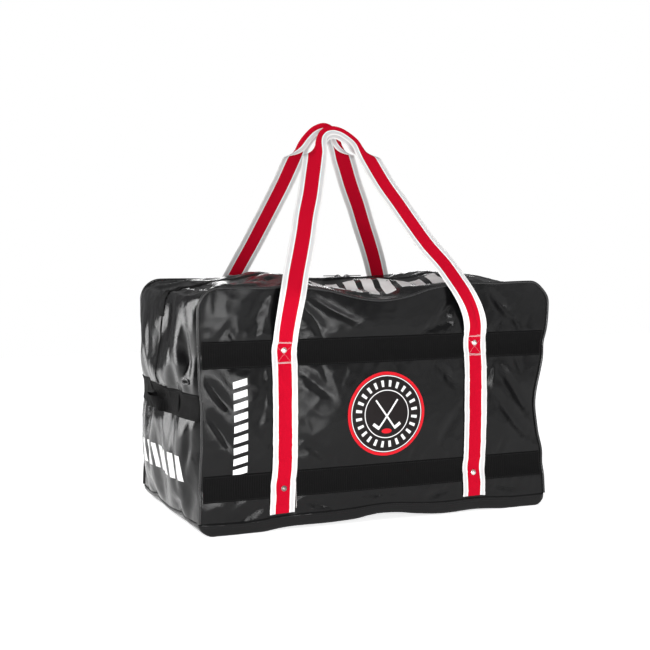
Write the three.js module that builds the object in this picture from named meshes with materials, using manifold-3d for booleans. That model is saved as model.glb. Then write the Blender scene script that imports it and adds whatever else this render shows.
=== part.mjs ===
// A hockey equipment bag: a sewn PVC box with webbing bands, two long carry handles,
// a grab handle on each end and a lid that opens along a two-slider zip.
// Millimetres, +Z up. The long side is X, the front faces -Y, and the bag stands on z = 0.
import * as THREE from "three";
import { mergeVertices } from "three/addons/utils/BufferGeometryUtils.js";
import Module from "manifold-3d";

const wasm = await Module();
wasm.setup();

// ---------------------------------------------------------------- driving sizes

const LENGTH = 735; // between the two end panels' seams
const DEPTH = 400; // over the front and rear panels at their edges
const HEIGHT = 457; // floor to the top seams
const WALL = 3; // coated cloth with its seam allowance
const GAP = 0.35; // between pieces that touch
const CORNER = 38; // radius of the upper corners
const FOOT_CORNER = 22; // radius of the lower ones, which the base wraps

const BASE_LIP = 25; // how far the base wraps up the sides
const FRONT_BULGE = 4; // the front and rear panels swell this much
const END_BULGE = 22; // the ends swell more
const LID_CROWN = 12; // the lid rises to the zip

const WEBBING = 50; // width of every band and strap
const WEB_THICK = 1.6;
const UPPER_BAND = 336; // height of each band's centre line
const LOWER_BAND = 88;
const END_BAND = 239;
const BAND_END = 5; // the bands stop this far from the piping

const LEG_X = 203; // the strap legs' distance from the middle
const LEG_FOOT = 30; // a leg starts here
const LEG_BOX_TOP = 359; // it is sewn down as far as here
const HANDLE_X = 189; // its centre line where it passes the top edge
const RIVETS = [
  ["upper", 341],
  ["lower", 79],
];

const HANDLE_REACH = 372; // from the top edge to the middle of the grip
const HANDLE_APEX_Y = 14; // the middle of each grip stops this far from the centre plane
const HANDLE_HINGE = new THREE.Vector3(0, -(DEPTH / 2 + 7), HEIGHT + 2);
const GRIP_WIDTH = WEBBING / 2; // the webbing is folded in half there
const GRIP_THICK = 5;
const STRAP_START = 15; // the straps start this far up the handle, clear of the top edge
const STRAP_END = 302; // distance up the handle where the grip's fold starts
const LEFT_STRAP_X = -76; // the strap's centre there, on each side
const RIGHT_STRAP_X = 45;
const APEX_X = -22;

const LID_HALF = 300; // the lid flaps reach this far each way
const FLAP_EDGE = DEPTH / 2 - WALL - 0.5; // where a flap hinges
const ZIP_SLOT = 16; // from the centre plane to a flap's edge
const TAPE_THICK = 1.2;
const TAPE_UNDER = 8; // the tape runs under the flap by this much
const COIL_WIDTH = 2.7;
const COIL_HEIGHT = 2.6;
const ZIP_END_WIDTH = 28;
const ZIP_END_DROP = 20; // the zip's end runs down past the corner
const SLIDER_X = 10; // each slider's distance from the middle when closed

const GRAB_HALF = 50; // half the grab handle's length
const GRAB_STAND = 24; // how far it stands off the band
const GRAB_THICK = 5;
const ANCHOR_LENGTH = 60;
const CREST_RADIUS = 80;
const CREST_Z = 212;
const EYELET = { y: -157, z: 286, long: 24, tall: 11, rim: 3 };

// -------------------------------------------------------------------- materials

function finish(colour, roughness, metalness = 0) {
  return () => new THREE.MeshStandardMaterial({ color: colour, roughness, metalness });
}

const pvc = finish(0x18181a, 0.3);
const pipingVinyl = finish(0x101012, 0.35);
const blackWebbing = finish(0x232324, 0.85);
const stripedWebbing = finish(0xcf112b, 0.8);
const zipTape = finish(0x151516, 0.9);
const zipCoil = finish(0x0d0d0e, 0.5);
const zinc = finish(0x3a3a3d, 0.35, 0.9);
const nickel = finish(0xc9c9cc, 0.25, 1);
const crestVinyl = finish(0xb8142a, 0.4);

// -------------------------------------------------------------- the bag's surface

// A swell that is 1 in the middle of a span and 0 at its ends.
function swell(value, low, high) {
  const t = THREE.MathUtils.clamp((value - low) / (high - low), 0, 1);
  return 4 * t * (1 - t);
}

// The front panel, pushed out by a distance. The rear is its mirror image.
function frontPoint(x, z, out = 0) {
  const bulge = FRONT_BULGE * swell(x, -LENGTH / 2, LENGTH / 2) * swell(z, 0, HEIGHT);
  return new THREE.Vector3(x, -(DEPTH / 2 + bulge + out), z);
}

// The left end panel, below its upper corner. The right one is its mirror image.
function endPoint(y, z, out = 0) {
  const bulge = END_BULGE * swell(y, -DEPTH / 2, DEPTH / 2) * swell(z, BASE_LIP, HEIGHT - CORNER);
  return new THREE.Vector3(-(LENGTH / 2 + bulge + out), y, z);
}

// The lid, level along X and crowned across Y.
function lidPoint(x, y, out = 0) {
  return new THREE.Vector3(x, y, HEIGHT + LID_CROWN * swell(y, -DEPTH / 2, DEPTH / 2) + out);
}

// The left upper corner and the end of the lid: run is the distance from the corner's
// lower edge, round the quarter circle and then along the lid.
const CORNER_ARC = (CORNER * Math.PI) / 2;

function yokeNormal(run) {
  const turn = Math.min(run / CORNER, Math.PI / 2);
  return new THREE.Vector3(-Math.cos(turn), 0, Math.sin(turn));
}

function yokePoint(run, y, out = 0) {
  const normal = yokeNormal(run);
  const along = Math.max(run - CORNER_ARC, 0);
  const crown = LID_CROWN * swell(y, -DEPTH / 2, DEPTH / 2) * normal.z * normal.z;
  const centre = new THREE.Vector3(-(LENGTH / 2 - CORNER) + along, y, HEIGHT - CORNER + crown);
  return centre.addScaledVector(normal, CORNER + out);
}

// ------------------------------------------------------------------ shape helpers

// Equal steps from a to b, ends included.
function steps(a, b, count) {
  return Array.from({ length: count + 1 }, (_, i) => a + ((b - a) * i) / count);
}

// A closed slab between an outer surface and the same surface moved in by its thickness.
function slab(us, vs, outer, inward) {
  const columns = us.length;
  const rows = vs.length;
  const layer = columns * rows;
  const positions = [];
  const put = (p) => positions.push(p.x, p.y, p.z);
  for (const v of vs) for (const u of us) put(outer(u, v));
  for (const v of vs) for (const u of us) put(outer(u, v).add(inward(u, v)));

  const index = [];
  const quad = (a, b, c, d) => index.push(a, b, c, a, c, d);
  const at = (i, j) => j * columns + i;
  for (let j = 0; j + 1 < rows; j++) {
    for (let i = 0; i + 1 < columns; i++) {
      const corners = [at(i, j), at(i + 1, j), at(i + 1, j + 1), at(i, j + 1)];
      quad(...corners);
      quad(...corners.reverse().map((k) => k + layer));
    }
  }
  const rim = [];
  for (let i = 0; i + 1 < columns; i++) rim.push(at(i, 0));
  for (let j = 0; j + 1 < rows; j++) rim.push(at(columns - 1, j));
  for (let i = columns - 1; i > 0; i--) rim.push(at(i, rows - 1));
  for (let j = rows - 1; j > 0; j--) rim.push(at(0, j));
  rim.forEach((a, k) => {
    const b = rim[(k + 1) % rim.length];
    quad(b, a, a + layer, b + layer);
  });
  const geometry = new THREE.BufferGeometry();
  geometry.setAttribute("position", new THREE.Float32BufferAttribute(positions, 3));
  geometry.setIndex(index);
  return facingOut(geometry);
}

// Turns the faces round if they enclose a negative volume.
function facingOut(geometry) {
  const solid = solidOf(geometry);
  return solid.volume() < 0 ? flipped(geometry) : geometry;
}

function flipped(geometry) {
  const index = Array.from(geometry.index.array);
  for (let i = 0; i < index.length; i += 3) {
    [index[i + 1], index[i + 2]] = [index[i + 2], index[i + 1]];
  }
  geometry.setIndex(index);
  return geometry;
}

function solidOf(geometry) {
  const positionsOnly = geometry.clone();
  positionsOnly.deleteAttribute("normal");
  positionsOnly.deleteAttribute("uv");
  const merged = mergeVertices(positionsOnly, 1e-4);
  return new wasm.Manifold(
    new wasm.Mesh({
      numProp: 3,
      vertProperties: new Float32Array(merged.attributes.position.array),
      triVerts: new Uint32Array(merged.index.array),
    }),
  );
}

function geometryOf(solid) {
  const mesh = solid.getMesh();
  const geometry = new THREE.BufferGeometry();
  geometry.setAttribute("position", new THREE.Float32BufferAttribute(mesh.vertProperties, 3));
  geometry.setIndex(Array.from(mesh.triVerts));
  return geometry;
}

// Cuts every cutter out of a shape.
function cut(geometry, cutters) {
  const solid = cutters.reduce((left, cutter) => left.subtract(solidOf(cutter)), solidOf(geometry));
  return geometryOf(solid);
}

// Takes a point of a rectangle to the same rectangle with round corners.
function roundCorner(u, v, half, radius) {
  const overU = Math.abs(u) - (half.u - radius);
  const overV = Math.abs(v) - (half.v - radius);
  if (overU <= 0 || overV <= 0) return [u, v];
  const squeeze = Math.max(overU, overV) / Math.hypot(overU, overV);
  return [
    Math.sign(u) * (half.u - radius + overU * squeeze),
    Math.sign(v) * (half.v - radius + overV * squeeze),
  ];
}

// Grid lines across a rectangle with round corners, closer together in the corners.
function roundedSteps(half, radius, middle) {
  const corner = radius > 0 ? 3 : 0;
  const flat = half - radius;
  const lines = corner ? steps(-half, -flat, corner).slice(0, -1) : [];
  const centre = flat > 0 ? steps(-flat, flat, middle) : [0];
  return lines.concat(centre, lines.map((line) => -line).reverse());
}

// A piece that lies on the front panel, between two heights, from one X to another.
function frontPiece({ x0, x1, z0, z1, radius = 0, out, thick, across = 8, up = 6 }) {
  const half = { u: (x1 - x0) / 2, v: (z1 - z0) / 2 };
  const middleX = (x0 + x1) / 2;
  const middleZ = (z0 + z1) / 2;
  const outer = (u, v) => {
    const [x, z] = roundCorner(u, v, half, radius);
    return frontPoint(middleX + x, middleZ + z, out + thick);
  };
  const us = roundedSteps(half.u, radius, across);
  const vs = roundedSteps(half.v, radius, up);
  return slab(us, vs, outer, () => new THREE.Vector3(0, thick, 0));
}

// A piece that lies on the left end panel.
function endPiece({ y0, y1, z0, z1, out, thick, across = 8, up = 8 }) {
  const outer = (y, z) => endPoint(y, z, out + thick);
  return slab(steps(y0, y1, across), steps(z0, z1, up), outer, () => new THREE.Vector3(thick, 0, 0));
}

// A piece that lies in the front half of the lid.
function lidPiece({ y0, y1, out, thick, across = 6 }) {
  const outer = (x, y) => lidPoint(x, y, out);
  const ends = [-LID_HALF, LID_HALF];
  return slab(ends, steps(y0, y1, across), outer, () => new THREE.Vector3(0, 0, -thick));
}

// The base seen from the front: a low U with round lower corners.
function baseOutline(inset) {
  const x = LENGTH / 2 - inset;
  const r = FOOT_CORNER - inset;
  const outline = new THREE.Shape();
  outline.moveTo(-x, BASE_LIP);
  outline.lineTo(-x, inset + r);
  outline.absarc(-x + r, inset + r, r, Math.PI, 1.5 * Math.PI, false);
  outline.lineTo(x - r, inset);
  outline.absarc(x - r, inset + r, r, -Math.PI / 2, 0, false);
  outline.lineTo(x, BASE_LIP);
  outline.closePath();
  return outline;
}

// The base's outline pushed through the bag from front to rear.
function baseBlock(inset, depth) {
  const geometry = new THREE.ExtrudeGeometry(baseOutline(inset), {
    depth,
    bevelEnabled: false,
    curveSegments: 6,
  });
  return geometry.translate(0, 0, -depth / 2).rotateX(Math.PI / 2);
}

// ------------------------------------------------------------------ the assembly

const bag = new THREE.Group();
const front = new THREE.Group();
const rear = new THREE.Group();
const left = new THREE.Group();
const right = new THREE.Group();
rear.scale.y = -1;
right.scale.x = -1;
bag.add(front, rear, left, right);

function add(parent, name, geometry, material) {
  const mesh = new THREE.Mesh(geometry, material());
  mesh.name = name;
  parent.add(mesh);
  return mesh;
}

// ------------------------------------------------------------- base and its lips

function basePanel() {
  const hollow = baseBlock(WALL, DEPTH - 2 * WALL);
  const mouth = new THREE.BoxGeometry(LENGTH - 2 * WALL, DEPTH - 2 * WALL, 2);
  mouth.translate(0, 0, BASE_LIP);
  return cut(baseBlock(0, DEPTH), [hollow, mouth]);
}

add(bag, "base_panel", basePanel(), pvc);

// ------------------------------------------- front and rear: panel, bands, straps

const BAND_OUT = GAP;
const LEG_OUT = BAND_OUT + WEB_THICK + GAP;
const RIVET_OUT = LEG_OUT + WEB_THICK + GAP;
const SHANK = 2;
const SHANK_HOLE = 2.4;

// A rivet's hole, along Y, at one place on the front.
function rivetHole(x, z) {
  const hole = new THREE.CylinderGeometry(SHANK_HOLE, SHANK_HOLE, 40, 12);
  return hole.translate(x, -DEPTH / 2, z);
}

const rivetHoles = [-LEG_X, LEG_X].flatMap((x) => RIVETS.map(([, z]) => rivetHole(x, z)));

// The front panel stands on the base's lip, so its lower edge is straight.
function frontPanel() {
  const whole = frontPiece({
    x0: -LENGTH / 2,
    x1: LENGTH / 2,
    z0: BASE_LIP + GAP - CORNER,
    z1: HEIGHT,
    radius: CORNER,
    out: -WALL,
    thick: WALL,
    across: 10,
    up: 8,
  });
  const below = new THREE.BoxGeometry(LENGTH + 2, 40, 2 * CORNER);
  below.translate(0, -DEPTH / 2, BASE_LIP + GAP - CORNER);
  return cut(whole, [below, ...rivetHoles]);
}

function band(z) {
  const strip = frontPiece({
    x0: -(LENGTH / 2 - BAND_END),
    x1: LENGTH / 2 - BAND_END,
    z0: z - WEBBING / 2,
    z1: z + WEBBING / 2,
    out: BAND_OUT,
    thick: WEB_THICK,
    across: 14,
    up: 2,
  });
  return cut(strip, rivetHoles);
}

// A strap leg: straight up the panel, then leaning in towards the handle.
function strapLeg(side) {
  const heights = steps(LEG_FOOT, LEG_BOX_TOP, 8).concat(steps(LEG_BOX_TOP, HEIGHT - 1, 3).slice(1));
  const lean = (z) => Math.max(z - LEG_BOX_TOP, 0) * ((LEG_X - HANDLE_X) / (HEIGHT - LEG_BOX_TOP));
  const outer = (u, z) => {
    const x = side * (LEG_X - lean(z)) + u;
    return frontPoint(x, z, LEG_OUT + WEB_THICK);
  };
  const inward = () => new THREE.Vector3(0, WEB_THICK, 0);
  const strip = slab(steps(-WEBBING / 2, WEBBING / 2, 2), heights, outer, inward);
  return cut(strip, rivetHoles);
}

// A domed rivet with its shank and the burr that spreads inside the bag, turned as one piece.
function rivet() {
  const dome = Array.from({ length: 4 }, (_, i) => {
    const turn = (i * Math.PI) / 6;
    return new THREE.Vector2(6 * Math.cos(turn), 3.2 * Math.sin(turn));
  });
  const through = RIVET_OUT + WALL + GAP;
  const profile = [
    new THREE.Vector2(0, -through - 1.2),
    new THREE.Vector2(4.5, -through - 1.2),
    new THREE.Vector2(4.5, -through),
    new THREE.Vector2(SHANK, -through),
    new THREE.Vector2(SHANK, 0),
    ...dome.slice(0, 3),
    new THREE.Vector2(0, 3.2),
  ];
  return geometryOf(solidOf(new THREE.LatheGeometry(profile, 12)));
}


// Round piping in the seam that runs up one side, over the top and down the other.
class PipingPath extends THREE.Curve {
  constructor(offset, foot, y) {
    super();
    this.side = LENGTH / 2 + offset;
    this.top = HEIGHT + offset;
    this.radius = CORNER + offset;
    this.foot = foot;
    this.y = y;
    this.rise = this.top - this.radius - foot;
    this.arc = (this.radius * Math.PI) / 2;
    this.across = 2 * (this.side - this.radius);
    this.total = 2 * (this.rise + this.arc) + this.across;
  }

  getPoint(t, target = new THREE.Vector3()) {
    const whole = t * this.total;
    const mirrored = whole > this.total / 2;
    const run = mirrored ? this.total - whole : whole;
    let x = -this.side;
    let z = this.foot + run;
    if (run > this.rise + this.arc) {
      x = -this.side + this.radius + (run - this.rise - this.arc);
      z = this.top;
    } else if (run > this.rise) {
      const turn = (run - this.rise) / this.radius;
      x = -this.side + this.radius * (1 - Math.cos(turn));
      z = this.top - this.radius * (1 - Math.sin(turn));
    }
    return target.set(mirrored ? -x : x, this.y, z);
  }
}

const PIPING_RADIUS = 2.5;
const PIPING_CLEAR = 1.1; // its straight steps cut across the corner by a little less

function piping() {
  const round = new THREE.Shape().absarc(0, 0, PIPING_RADIUS, 0, 2 * Math.PI, false);
  const centreY = -(DEPTH / 2 - WALL / 2);
  const path = new PipingPath(PIPING_RADIUS + PIPING_CLEAR, BASE_LIP + GAP, centreY);
  return new THREE.ExtrudeGeometry(round, {
    extrudePath: path,
    steps: 96,
    curveSegments: 4,
    bevelEnabled: false,
  });
}

function addSide(parent, side) {
  add(parent, `${side}_panel`, frontPanel(), pvc);
  add(parent, `${side}_upper_band`, band(UPPER_BAND), blackWebbing);
  add(parent, `${side}_lower_band`, band(LOWER_BAND), blackWebbing);
  add(parent, `${side}_piping`, piping(), pipingVinyl);
  for (const [hand, x] of [
    ["left", -LEG_X],
    ["right", LEG_X],
  ]) {
    add(parent, `${side}_${hand}_strap_leg`, strapLeg(Math.sign(x)), stripedWebbing);
    for (const [place, z] of RIVETS) {
      const head = add(parent, `${side}_${hand}_${place}_rivet`, rivet(), nickel);
      head.position.copy(frontPoint(x, z, RIVET_OUT));
      head.rotation.x = Math.PI;
    }
  }
}

addSide(front, "front");
addSide(rear, "rear");

function crestPatch() {
  return frontPiece({
    x0: -CREST_RADIUS,
    x1: CREST_RADIUS,
    z0: CREST_Z - CREST_RADIUS,
    z1: CREST_Z + CREST_RADIUS,
    radius: CREST_RADIUS - 0.01,
    out: GAP,
    thick: 1,
    across: 1,
    up: 1,
  });
}

// -------------------------------------------------- ends: panel, band, grab handle

const PANEL_SIDE = DEPTH / 2 - WALL - GAP;

function ovalShape(long, tall) {
  const flat = (long - tall) / 2;
  const shape = new THREE.Shape();
  shape.absarc(flat, 0, tall / 2, -Math.PI / 2, Math.PI / 2, false);
  shape.absarc(-flat, 0, tall / 2, Math.PI / 2, 1.5 * Math.PI, false);
  return shape;
}

const EYELET_SLOPE = Math.atan((END_BULGE * 8 * -EYELET.y) / (DEPTH * DEPTH));

// Stands a shape drawn in a plane on the left end panel, at the eyelet's place.
function placeEyelet(geometry, out) {
  geometry.rotateX(Math.PI / 2).rotateZ(-Math.PI / 2);
  geometry.rotateZ(EYELET_SLOPE);
  const spot = endPoint(EYELET.y, EYELET.z, out);
  return geometry.translate(spot.x, spot.y, spot.z);
}

function eyeletHole() {
  const slot = ovalShape(EYELET.long - 2 * EYELET.rim + 2 * GAP, EYELET.tall - 2 * EYELET.rim + 2 * GAP);
  const geometry = new THREE.ExtrudeGeometry(slot, { depth: 20, bevelEnabled: false, curveSegments: 6 });
  return placeEyelet(geometry.translate(0, 0, -10), 0);
}

// A pressed oval ring.
function eyelet() {
  const ring = ovalShape(EYELET.long, EYELET.tall);
  ring.holes.push(ovalShape(EYELET.long - 2 * EYELET.rim, EYELET.tall - 2 * EYELET.rim));
  const geometry = new THREE.ExtrudeGeometry(ring, { depth: 1.2, bevelEnabled: false, curveSegments: 6 });
  return placeEyelet(geometry.translate(0, 0, -0.6), 1.4);
}

function endPanel() {
  const panel = endPiece({
    y0: -PANEL_SIDE,
    y1: PANEL_SIDE,
    z0: BASE_LIP + GAP,
    z1: HEIGHT - CORNER,
    out: -WALL,
    thick: WALL,
    across: 10,
    up: 12,
  });
  return cut(panel, [eyeletHole()]);
}

function topYoke() {
  const length = CORNER_ARC + LENGTH / 2 - CORNER - LID_HALF - GAP;
  const runs = steps(GAP, CORNER_ARC, 5).concat(length);
  const inward = (run) => yokeNormal(run).multiplyScalar(-WALL);
  return slab(runs, steps(-PANEL_SIDE, PANEL_SIDE, 10), (run, y) => yokePoint(run, y), inward);
}

// The zip's closed end, sewn over the corner and a little way down the end panel.
function zipEnd() {
  const length = CORNER_ARC + LENGTH / 2 - CORNER - LID_HALF - GAP;
  const out = GAP + TAPE_THICK;
  const runs = [-ZIP_END_DROP].concat(steps(0, CORNER_ARC, 5), length);
  const outer = (run, y) => {
    if (run >= 0) return yokePoint(run, y, out);
    return endPoint(y, HEIGHT - CORNER + run, out);
  };
  const inward = (run) => yokeNormal(Math.max(run, 0)).multiplyScalar(-TAPE_THICK);
  return slab(runs, steps(-ZIP_END_WIDTH / 2, ZIP_END_WIDTH / 2, 2), outer, inward);
}

const GRAB_BASE = -endPoint(0, END_BAND, GAP + WEB_THICK).x;

// The space that the loop may fill: its feet narrow to a line, so that it can swing 45
// degrees up or down about them without meeting the band.
function grabWedge(foot) {
  const reach = 2 * GRAB_STAND;
  const outline = new THREE.Shape();
  outline.moveTo(-foot, -0.6);
  outline.lineTo(-foot - reach, -0.6 - reach);
  outline.lineTo(-foot - reach, 0.6 + reach);
  outline.lineTo(-foot, 0.6);
  outline.closePath();
  const geometry = new THREE.ExtrudeGeometry(outline, { depth: 3 * GRAB_HALF, bevelEnabled: false });
  return geometry.translate(0, 0, -1.5 * GRAB_HALF).rotateX(Math.PI / 2);
}

// A folded strap that stands out between its two anchors and comes back.
function grabHandle() {
  const foot = GAP + 1;
  const arch = new THREE.Shape();
  arch.moveTo(-GRAB_HALF, foot);
  arch.bezierCurveTo(-GRAB_HALF + 12, GRAB_STAND + 2, -18, GRAB_STAND, 0, GRAB_STAND);
  arch.bezierCurveTo(18, GRAB_STAND, GRAB_HALF - 12, GRAB_STAND + 2, GRAB_HALF, foot);
  arch.lineTo(GRAB_HALF - GRAB_THICK, foot);
  const inner = GRAB_STAND - GRAB_THICK;
  arch.bezierCurveTo(GRAB_HALF - 14, inner + 1, 16, inner, 0, inner);
  arch.bezierCurveTo(-16, inner, -GRAB_HALF + 14, inner + 1, -GRAB_HALF + GRAB_THICK, foot);
  const geometry = new THREE.ExtrudeGeometry(arch, {
    depth: GRIP_WIDTH,
    bevelEnabled: false,
    curveSegments: 8,
  });
  geometry.translate(0, 0, -GRIP_WIDTH / 2).rotateZ(Math.PI / 2);
  const loop = solidOf(geometry).intersect(solidOf(grabWedge(foot)));
  return geometryOf(loop).translate(-GRAB_BASE, 0, END_BAND);
}

function addEnd(parent, end) {
  add(parent, `${end}_end_panel`, endPanel(), pvc);
  add(parent, `${end}_top_yoke`, topYoke(), pvc);
  add(parent, `${end}_zip_end`, zipEnd(), zipTape);
  const z0 = END_BAND - WEBBING / 2;
  const z1 = END_BAND + WEBBING / 2;
  const y = DEPTH / 2 - BAND_END;
  const bandStrip = endPiece({ y0: -y, y1: y, z0, z1, out: GAP, thick: WEB_THICK, across: 12, up: 2 });
  add(parent, `${end}_end_band`, bandStrip, blackWebbing);
  const inner = GRAB_HALF + GAP + 2;
  for (const [place, side] of [
    ["front", -1],
    ["rear", 1],
  ]) {
    const span = [side * inner, side * (inner + ANCHOR_LENGTH)].sort((a, b) => a - b);
    const patch = endPiece({
      y0: span[0],
      y1: span[1],
      z0: z0 + 1,
      z1: z1 - 1,
      out: WEB_THICK + 2 * GAP + 0.1,
      thick: WEB_THICK,
      across: 4,
      up: 2,
    });
    add(parent, `${end}_${place}_anchor`, patch, blackWebbing);
  }
  add(parent, `${end}_grab_handle`, grabHandle(), blackWebbing);
  add(parent, `${end}_eyelet`, eyelet(), zinc);
}

addEnd(left, "left");
addEnd(right, "right");
add(front, "crest_patch", crestPatch(), crestVinyl);

// ---------------------------------------------------- lid: flap, zip tape and coil

const COIL_TOP = lidPoint(0, 0).z - WALL - GAP + 0.8;

function coilHalf() {
  const outline = new THREE.Shape();
  outline.moveTo(0, 0.8);
  outline.lineTo(0.8, 0);
  outline.lineTo(COIL_WIDTH, 0);
  outline.lineTo(COIL_WIDTH, COIL_HEIGHT);
  outline.lineTo(0.8, COIL_HEIGHT);
  outline.lineTo(0, COIL_HEIGHT - 0.8);
  outline.closePath();
  const geometry = new THREE.ExtrudeGeometry(outline, { depth: 2 * LID_HALF, bevelEnabled: false });
  geometry.translate(0, 0, -LID_HALF).rotateX(Math.PI / 2).rotateZ(Math.PI / 2);
  return geometry.translate(0, -COIL_WIDTH - GAP, COIL_TOP - COIL_HEIGHT);
}

function addLid(parent, side) {
  const flap = lidPiece({ y0: -FLAP_EDGE, y1: -ZIP_SLOT, out: 0, thick: WALL });
  add(parent, `${side}_lid_flap`, flap, pvc);
  const tape = lidPiece({
    y0: -(ZIP_SLOT + TAPE_UNDER),
    y1: -(COIL_WIDTH + 2 * GAP),
    out: -WALL - GAP,
    thick: TAPE_THICK,
    across: 2,
  });
  add(parent, `${side}_zip_tape`, tape, zipTape);
  add(parent, `${side}_zip_coil`, coilHalf(), zipCoil);
}

addLid(front, "front");
addLid(rear, "rear");

// --------------------------------------------------------- sliders and pull tabs

const SLIDER = { length: 14, width: 9, plate: 2.2, y: -5.2 };
const BRIDGE = { length: 8, width: 3, height: 4.4, hole: 5.4, bar: 0.9 };
const SLIDER_Z = COIL_TOP + GAP;
const TAB = { length: 32, width: 9, thick: 1.5, eye: 4.6, arm: 2.2 };
const TAB_Z = SLIDER_Z + SLIDER.plate + 1.55;

// A plate over the coil with a bridge that the pull tab's bar runs through.
function slider() {
  const plate = new THREE.BoxGeometry(SLIDER.length, SLIDER.width, SLIDER.plate);
  plate.translate(0, 0, SLIDER.plate / 2);
  const bridge = new THREE.BoxGeometry(BRIDGE.length, BRIDGE.width, BRIDGE.height);
  bridge.translate(0, 0, SLIDER.plate + BRIDGE.height / 2 - 0.5);
  const hole = new THREE.BoxGeometry(BRIDGE.hole, BRIDGE.width + 2, BRIDGE.height - BRIDGE.bar - 0.5);
  hole.translate(0, 0, SLIDER.plate + (BRIDGE.height - BRIDGE.bar - 0.5) / 2);
  return cut(geometryOf(solidOf(plate).add(solidOf(bridge))), [hole]);
}

// A flat tab with an eye: the bar at the eye's end lies in the slider's bridge.
function pullTab(direction) {
  const half = TAB.width / 2;
  const outline = new THREE.Shape();
  outline.moveTo(-TAB.thick / 2, -half);
  outline.lineTo(TAB.length - half, -half);
  outline.absarc(TAB.length - half, 0, half, -Math.PI / 2, Math.PI / 2, false);
  outline.lineTo(-TAB.thick / 2, half);
  outline.closePath();
  const eye = new THREE.Path();
  eye.moveTo(TAB.thick / 2, -half + TAB.arm);
  eye.lineTo(TAB.thick / 2 + TAB.eye, -half + TAB.arm);
  eye.lineTo(TAB.thick / 2 + TAB.eye, half - TAB.arm);
  eye.lineTo(TAB.thick / 2, half - TAB.arm);
  eye.closePath();
  outline.holes.push(eye);
  const geometry = new THREE.ExtrudeGeometry(outline, {
    depth: TAB.thick,
    bevelEnabled: false,
    curveSegments: 6,
  });
  geometry.translate(0, 0, -TAB.thick / 2);
  return direction < 0 ? geometry.rotateZ(Math.PI) : geometry;
}

for (const [hand, side] of [
  ["left", -1],
  ["right", 1],
]) {
  const body = add(front, `${hand}_slider`, slider(), zinc);
  body.position.set(side * SLIDER_X, SLIDER.y, SLIDER_Z);
  const tab = add(front, `${hand}_pull_tab`, pullTab(side), zinc);
  tab.position.set(side * SLIDER_X, SLIDER.y, TAB_Z);
}

// ------------------------------------------------------------- the carry handles

// Drawn flat, with X along the bag and Y up the handle, then leaned over the lid.
function ribbon(curve, width, thick, count) {
  const outer = (u, t) => {
    const centre = curve.getPoint(t);
    const tangent = curve.getTangent(t);
    const normal = new THREE.Vector3(-tangent.y, tangent.x, 0);
    return centre.addScaledVector(normal, u).add(new THREE.Vector3(0, 0, thick / 2));
  };
  const inward = () => new THREE.Vector3(0, 0, -thick);
  return slab([-width / 2, width / 2], steps(0, 1, count), outer, inward);
}

function strapCurve(side) {
  const top = side < 0 ? LEFT_STRAP_X : RIGHT_STRAP_X;
  return new THREE.LineCurve3(
    new THREE.Vector3(side * (HANDLE_X - 3), STRAP_START, 0),
    new THREE.Vector3(top, STRAP_END, 0),
  );
}

// A point in line with a strap, a distance past its upper end.
function pastStrap(side, distance) {
  const strap = strapCurve(side);
  return strap.v2.clone().addScaledVector(strap.getTangent(1), distance);
}

const gripCurve = new THREE.CatmullRomCurve3([
  pastStrap(-1, 1.5),
  pastStrap(-1, 22),
  new THREE.Vector3(APEX_X, HANDLE_REACH, 0),
  pastStrap(1, 22),
  pastStrap(1, 1.5),
]);

function addHandle(parent, side) {
  const handle = new THREE.Group();
  const lean = Math.acos((-HANDLE_HINGE.y - HANDLE_APEX_Y) / HANDLE_REACH);
  handle.position.copy(HANDLE_HINGE);
  handle.rotation.x = lean;
  parent.add(handle);
  const pieces = [
    ["left_strap", ribbon(strapCurve(-1), WEBBING, WEB_THICK, 4)],
    ["right_strap", ribbon(strapCurve(1), WEBBING, WEB_THICK, 4)],
    ["grip", ribbon(gripCurve, GRIP_WIDTH, GRIP_THICK, 14)],
  ];
  for (const [name, geometry] of pieces) {
    add(handle, `${side}_handle_${name}`, geometry, stripedWebbing);
  }
}

addHandle(front, "front");
addHandle(rear, "rear");

export default bag;
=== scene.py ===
# %% [markdown]
# # A hockey equipment bag
# The bag is a soft box sewn from glossy coated PVC. Flat webbing bands run round it, two striped
# carry straps climb the front and the rear and meet above the lid, and a zip runs along the top.
# The CAD model gives the main sizes and places. Here each of its plain solids gets the real
# look: cloth that bulges and creases, webbing that bends, thread, teeth and metal.

# %% Load the CAD frame
import math

import bmesh
import bpy
import numpy as np
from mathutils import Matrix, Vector


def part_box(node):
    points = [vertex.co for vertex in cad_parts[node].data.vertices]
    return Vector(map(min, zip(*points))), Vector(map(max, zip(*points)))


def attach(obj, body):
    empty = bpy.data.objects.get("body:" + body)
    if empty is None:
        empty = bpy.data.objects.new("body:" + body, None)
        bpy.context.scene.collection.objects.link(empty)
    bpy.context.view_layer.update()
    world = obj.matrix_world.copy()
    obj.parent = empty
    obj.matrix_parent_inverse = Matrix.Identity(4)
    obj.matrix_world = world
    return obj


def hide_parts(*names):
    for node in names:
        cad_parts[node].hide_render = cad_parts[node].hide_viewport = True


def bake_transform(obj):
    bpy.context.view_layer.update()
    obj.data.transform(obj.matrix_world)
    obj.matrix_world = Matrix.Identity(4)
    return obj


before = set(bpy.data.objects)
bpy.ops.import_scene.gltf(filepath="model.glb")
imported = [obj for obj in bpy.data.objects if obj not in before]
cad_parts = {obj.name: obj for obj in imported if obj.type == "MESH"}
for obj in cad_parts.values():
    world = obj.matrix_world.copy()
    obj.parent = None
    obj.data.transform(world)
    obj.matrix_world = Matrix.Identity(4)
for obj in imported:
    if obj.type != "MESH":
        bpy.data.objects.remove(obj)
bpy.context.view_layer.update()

# %% [markdown]
# ## Sizes
# The main sizes come from the boxes of the CAD nodes, and the others are named here.
# Lengths are metres, X runs along the bag, the front faces -Y and the bag stands on Z = 0.

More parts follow.
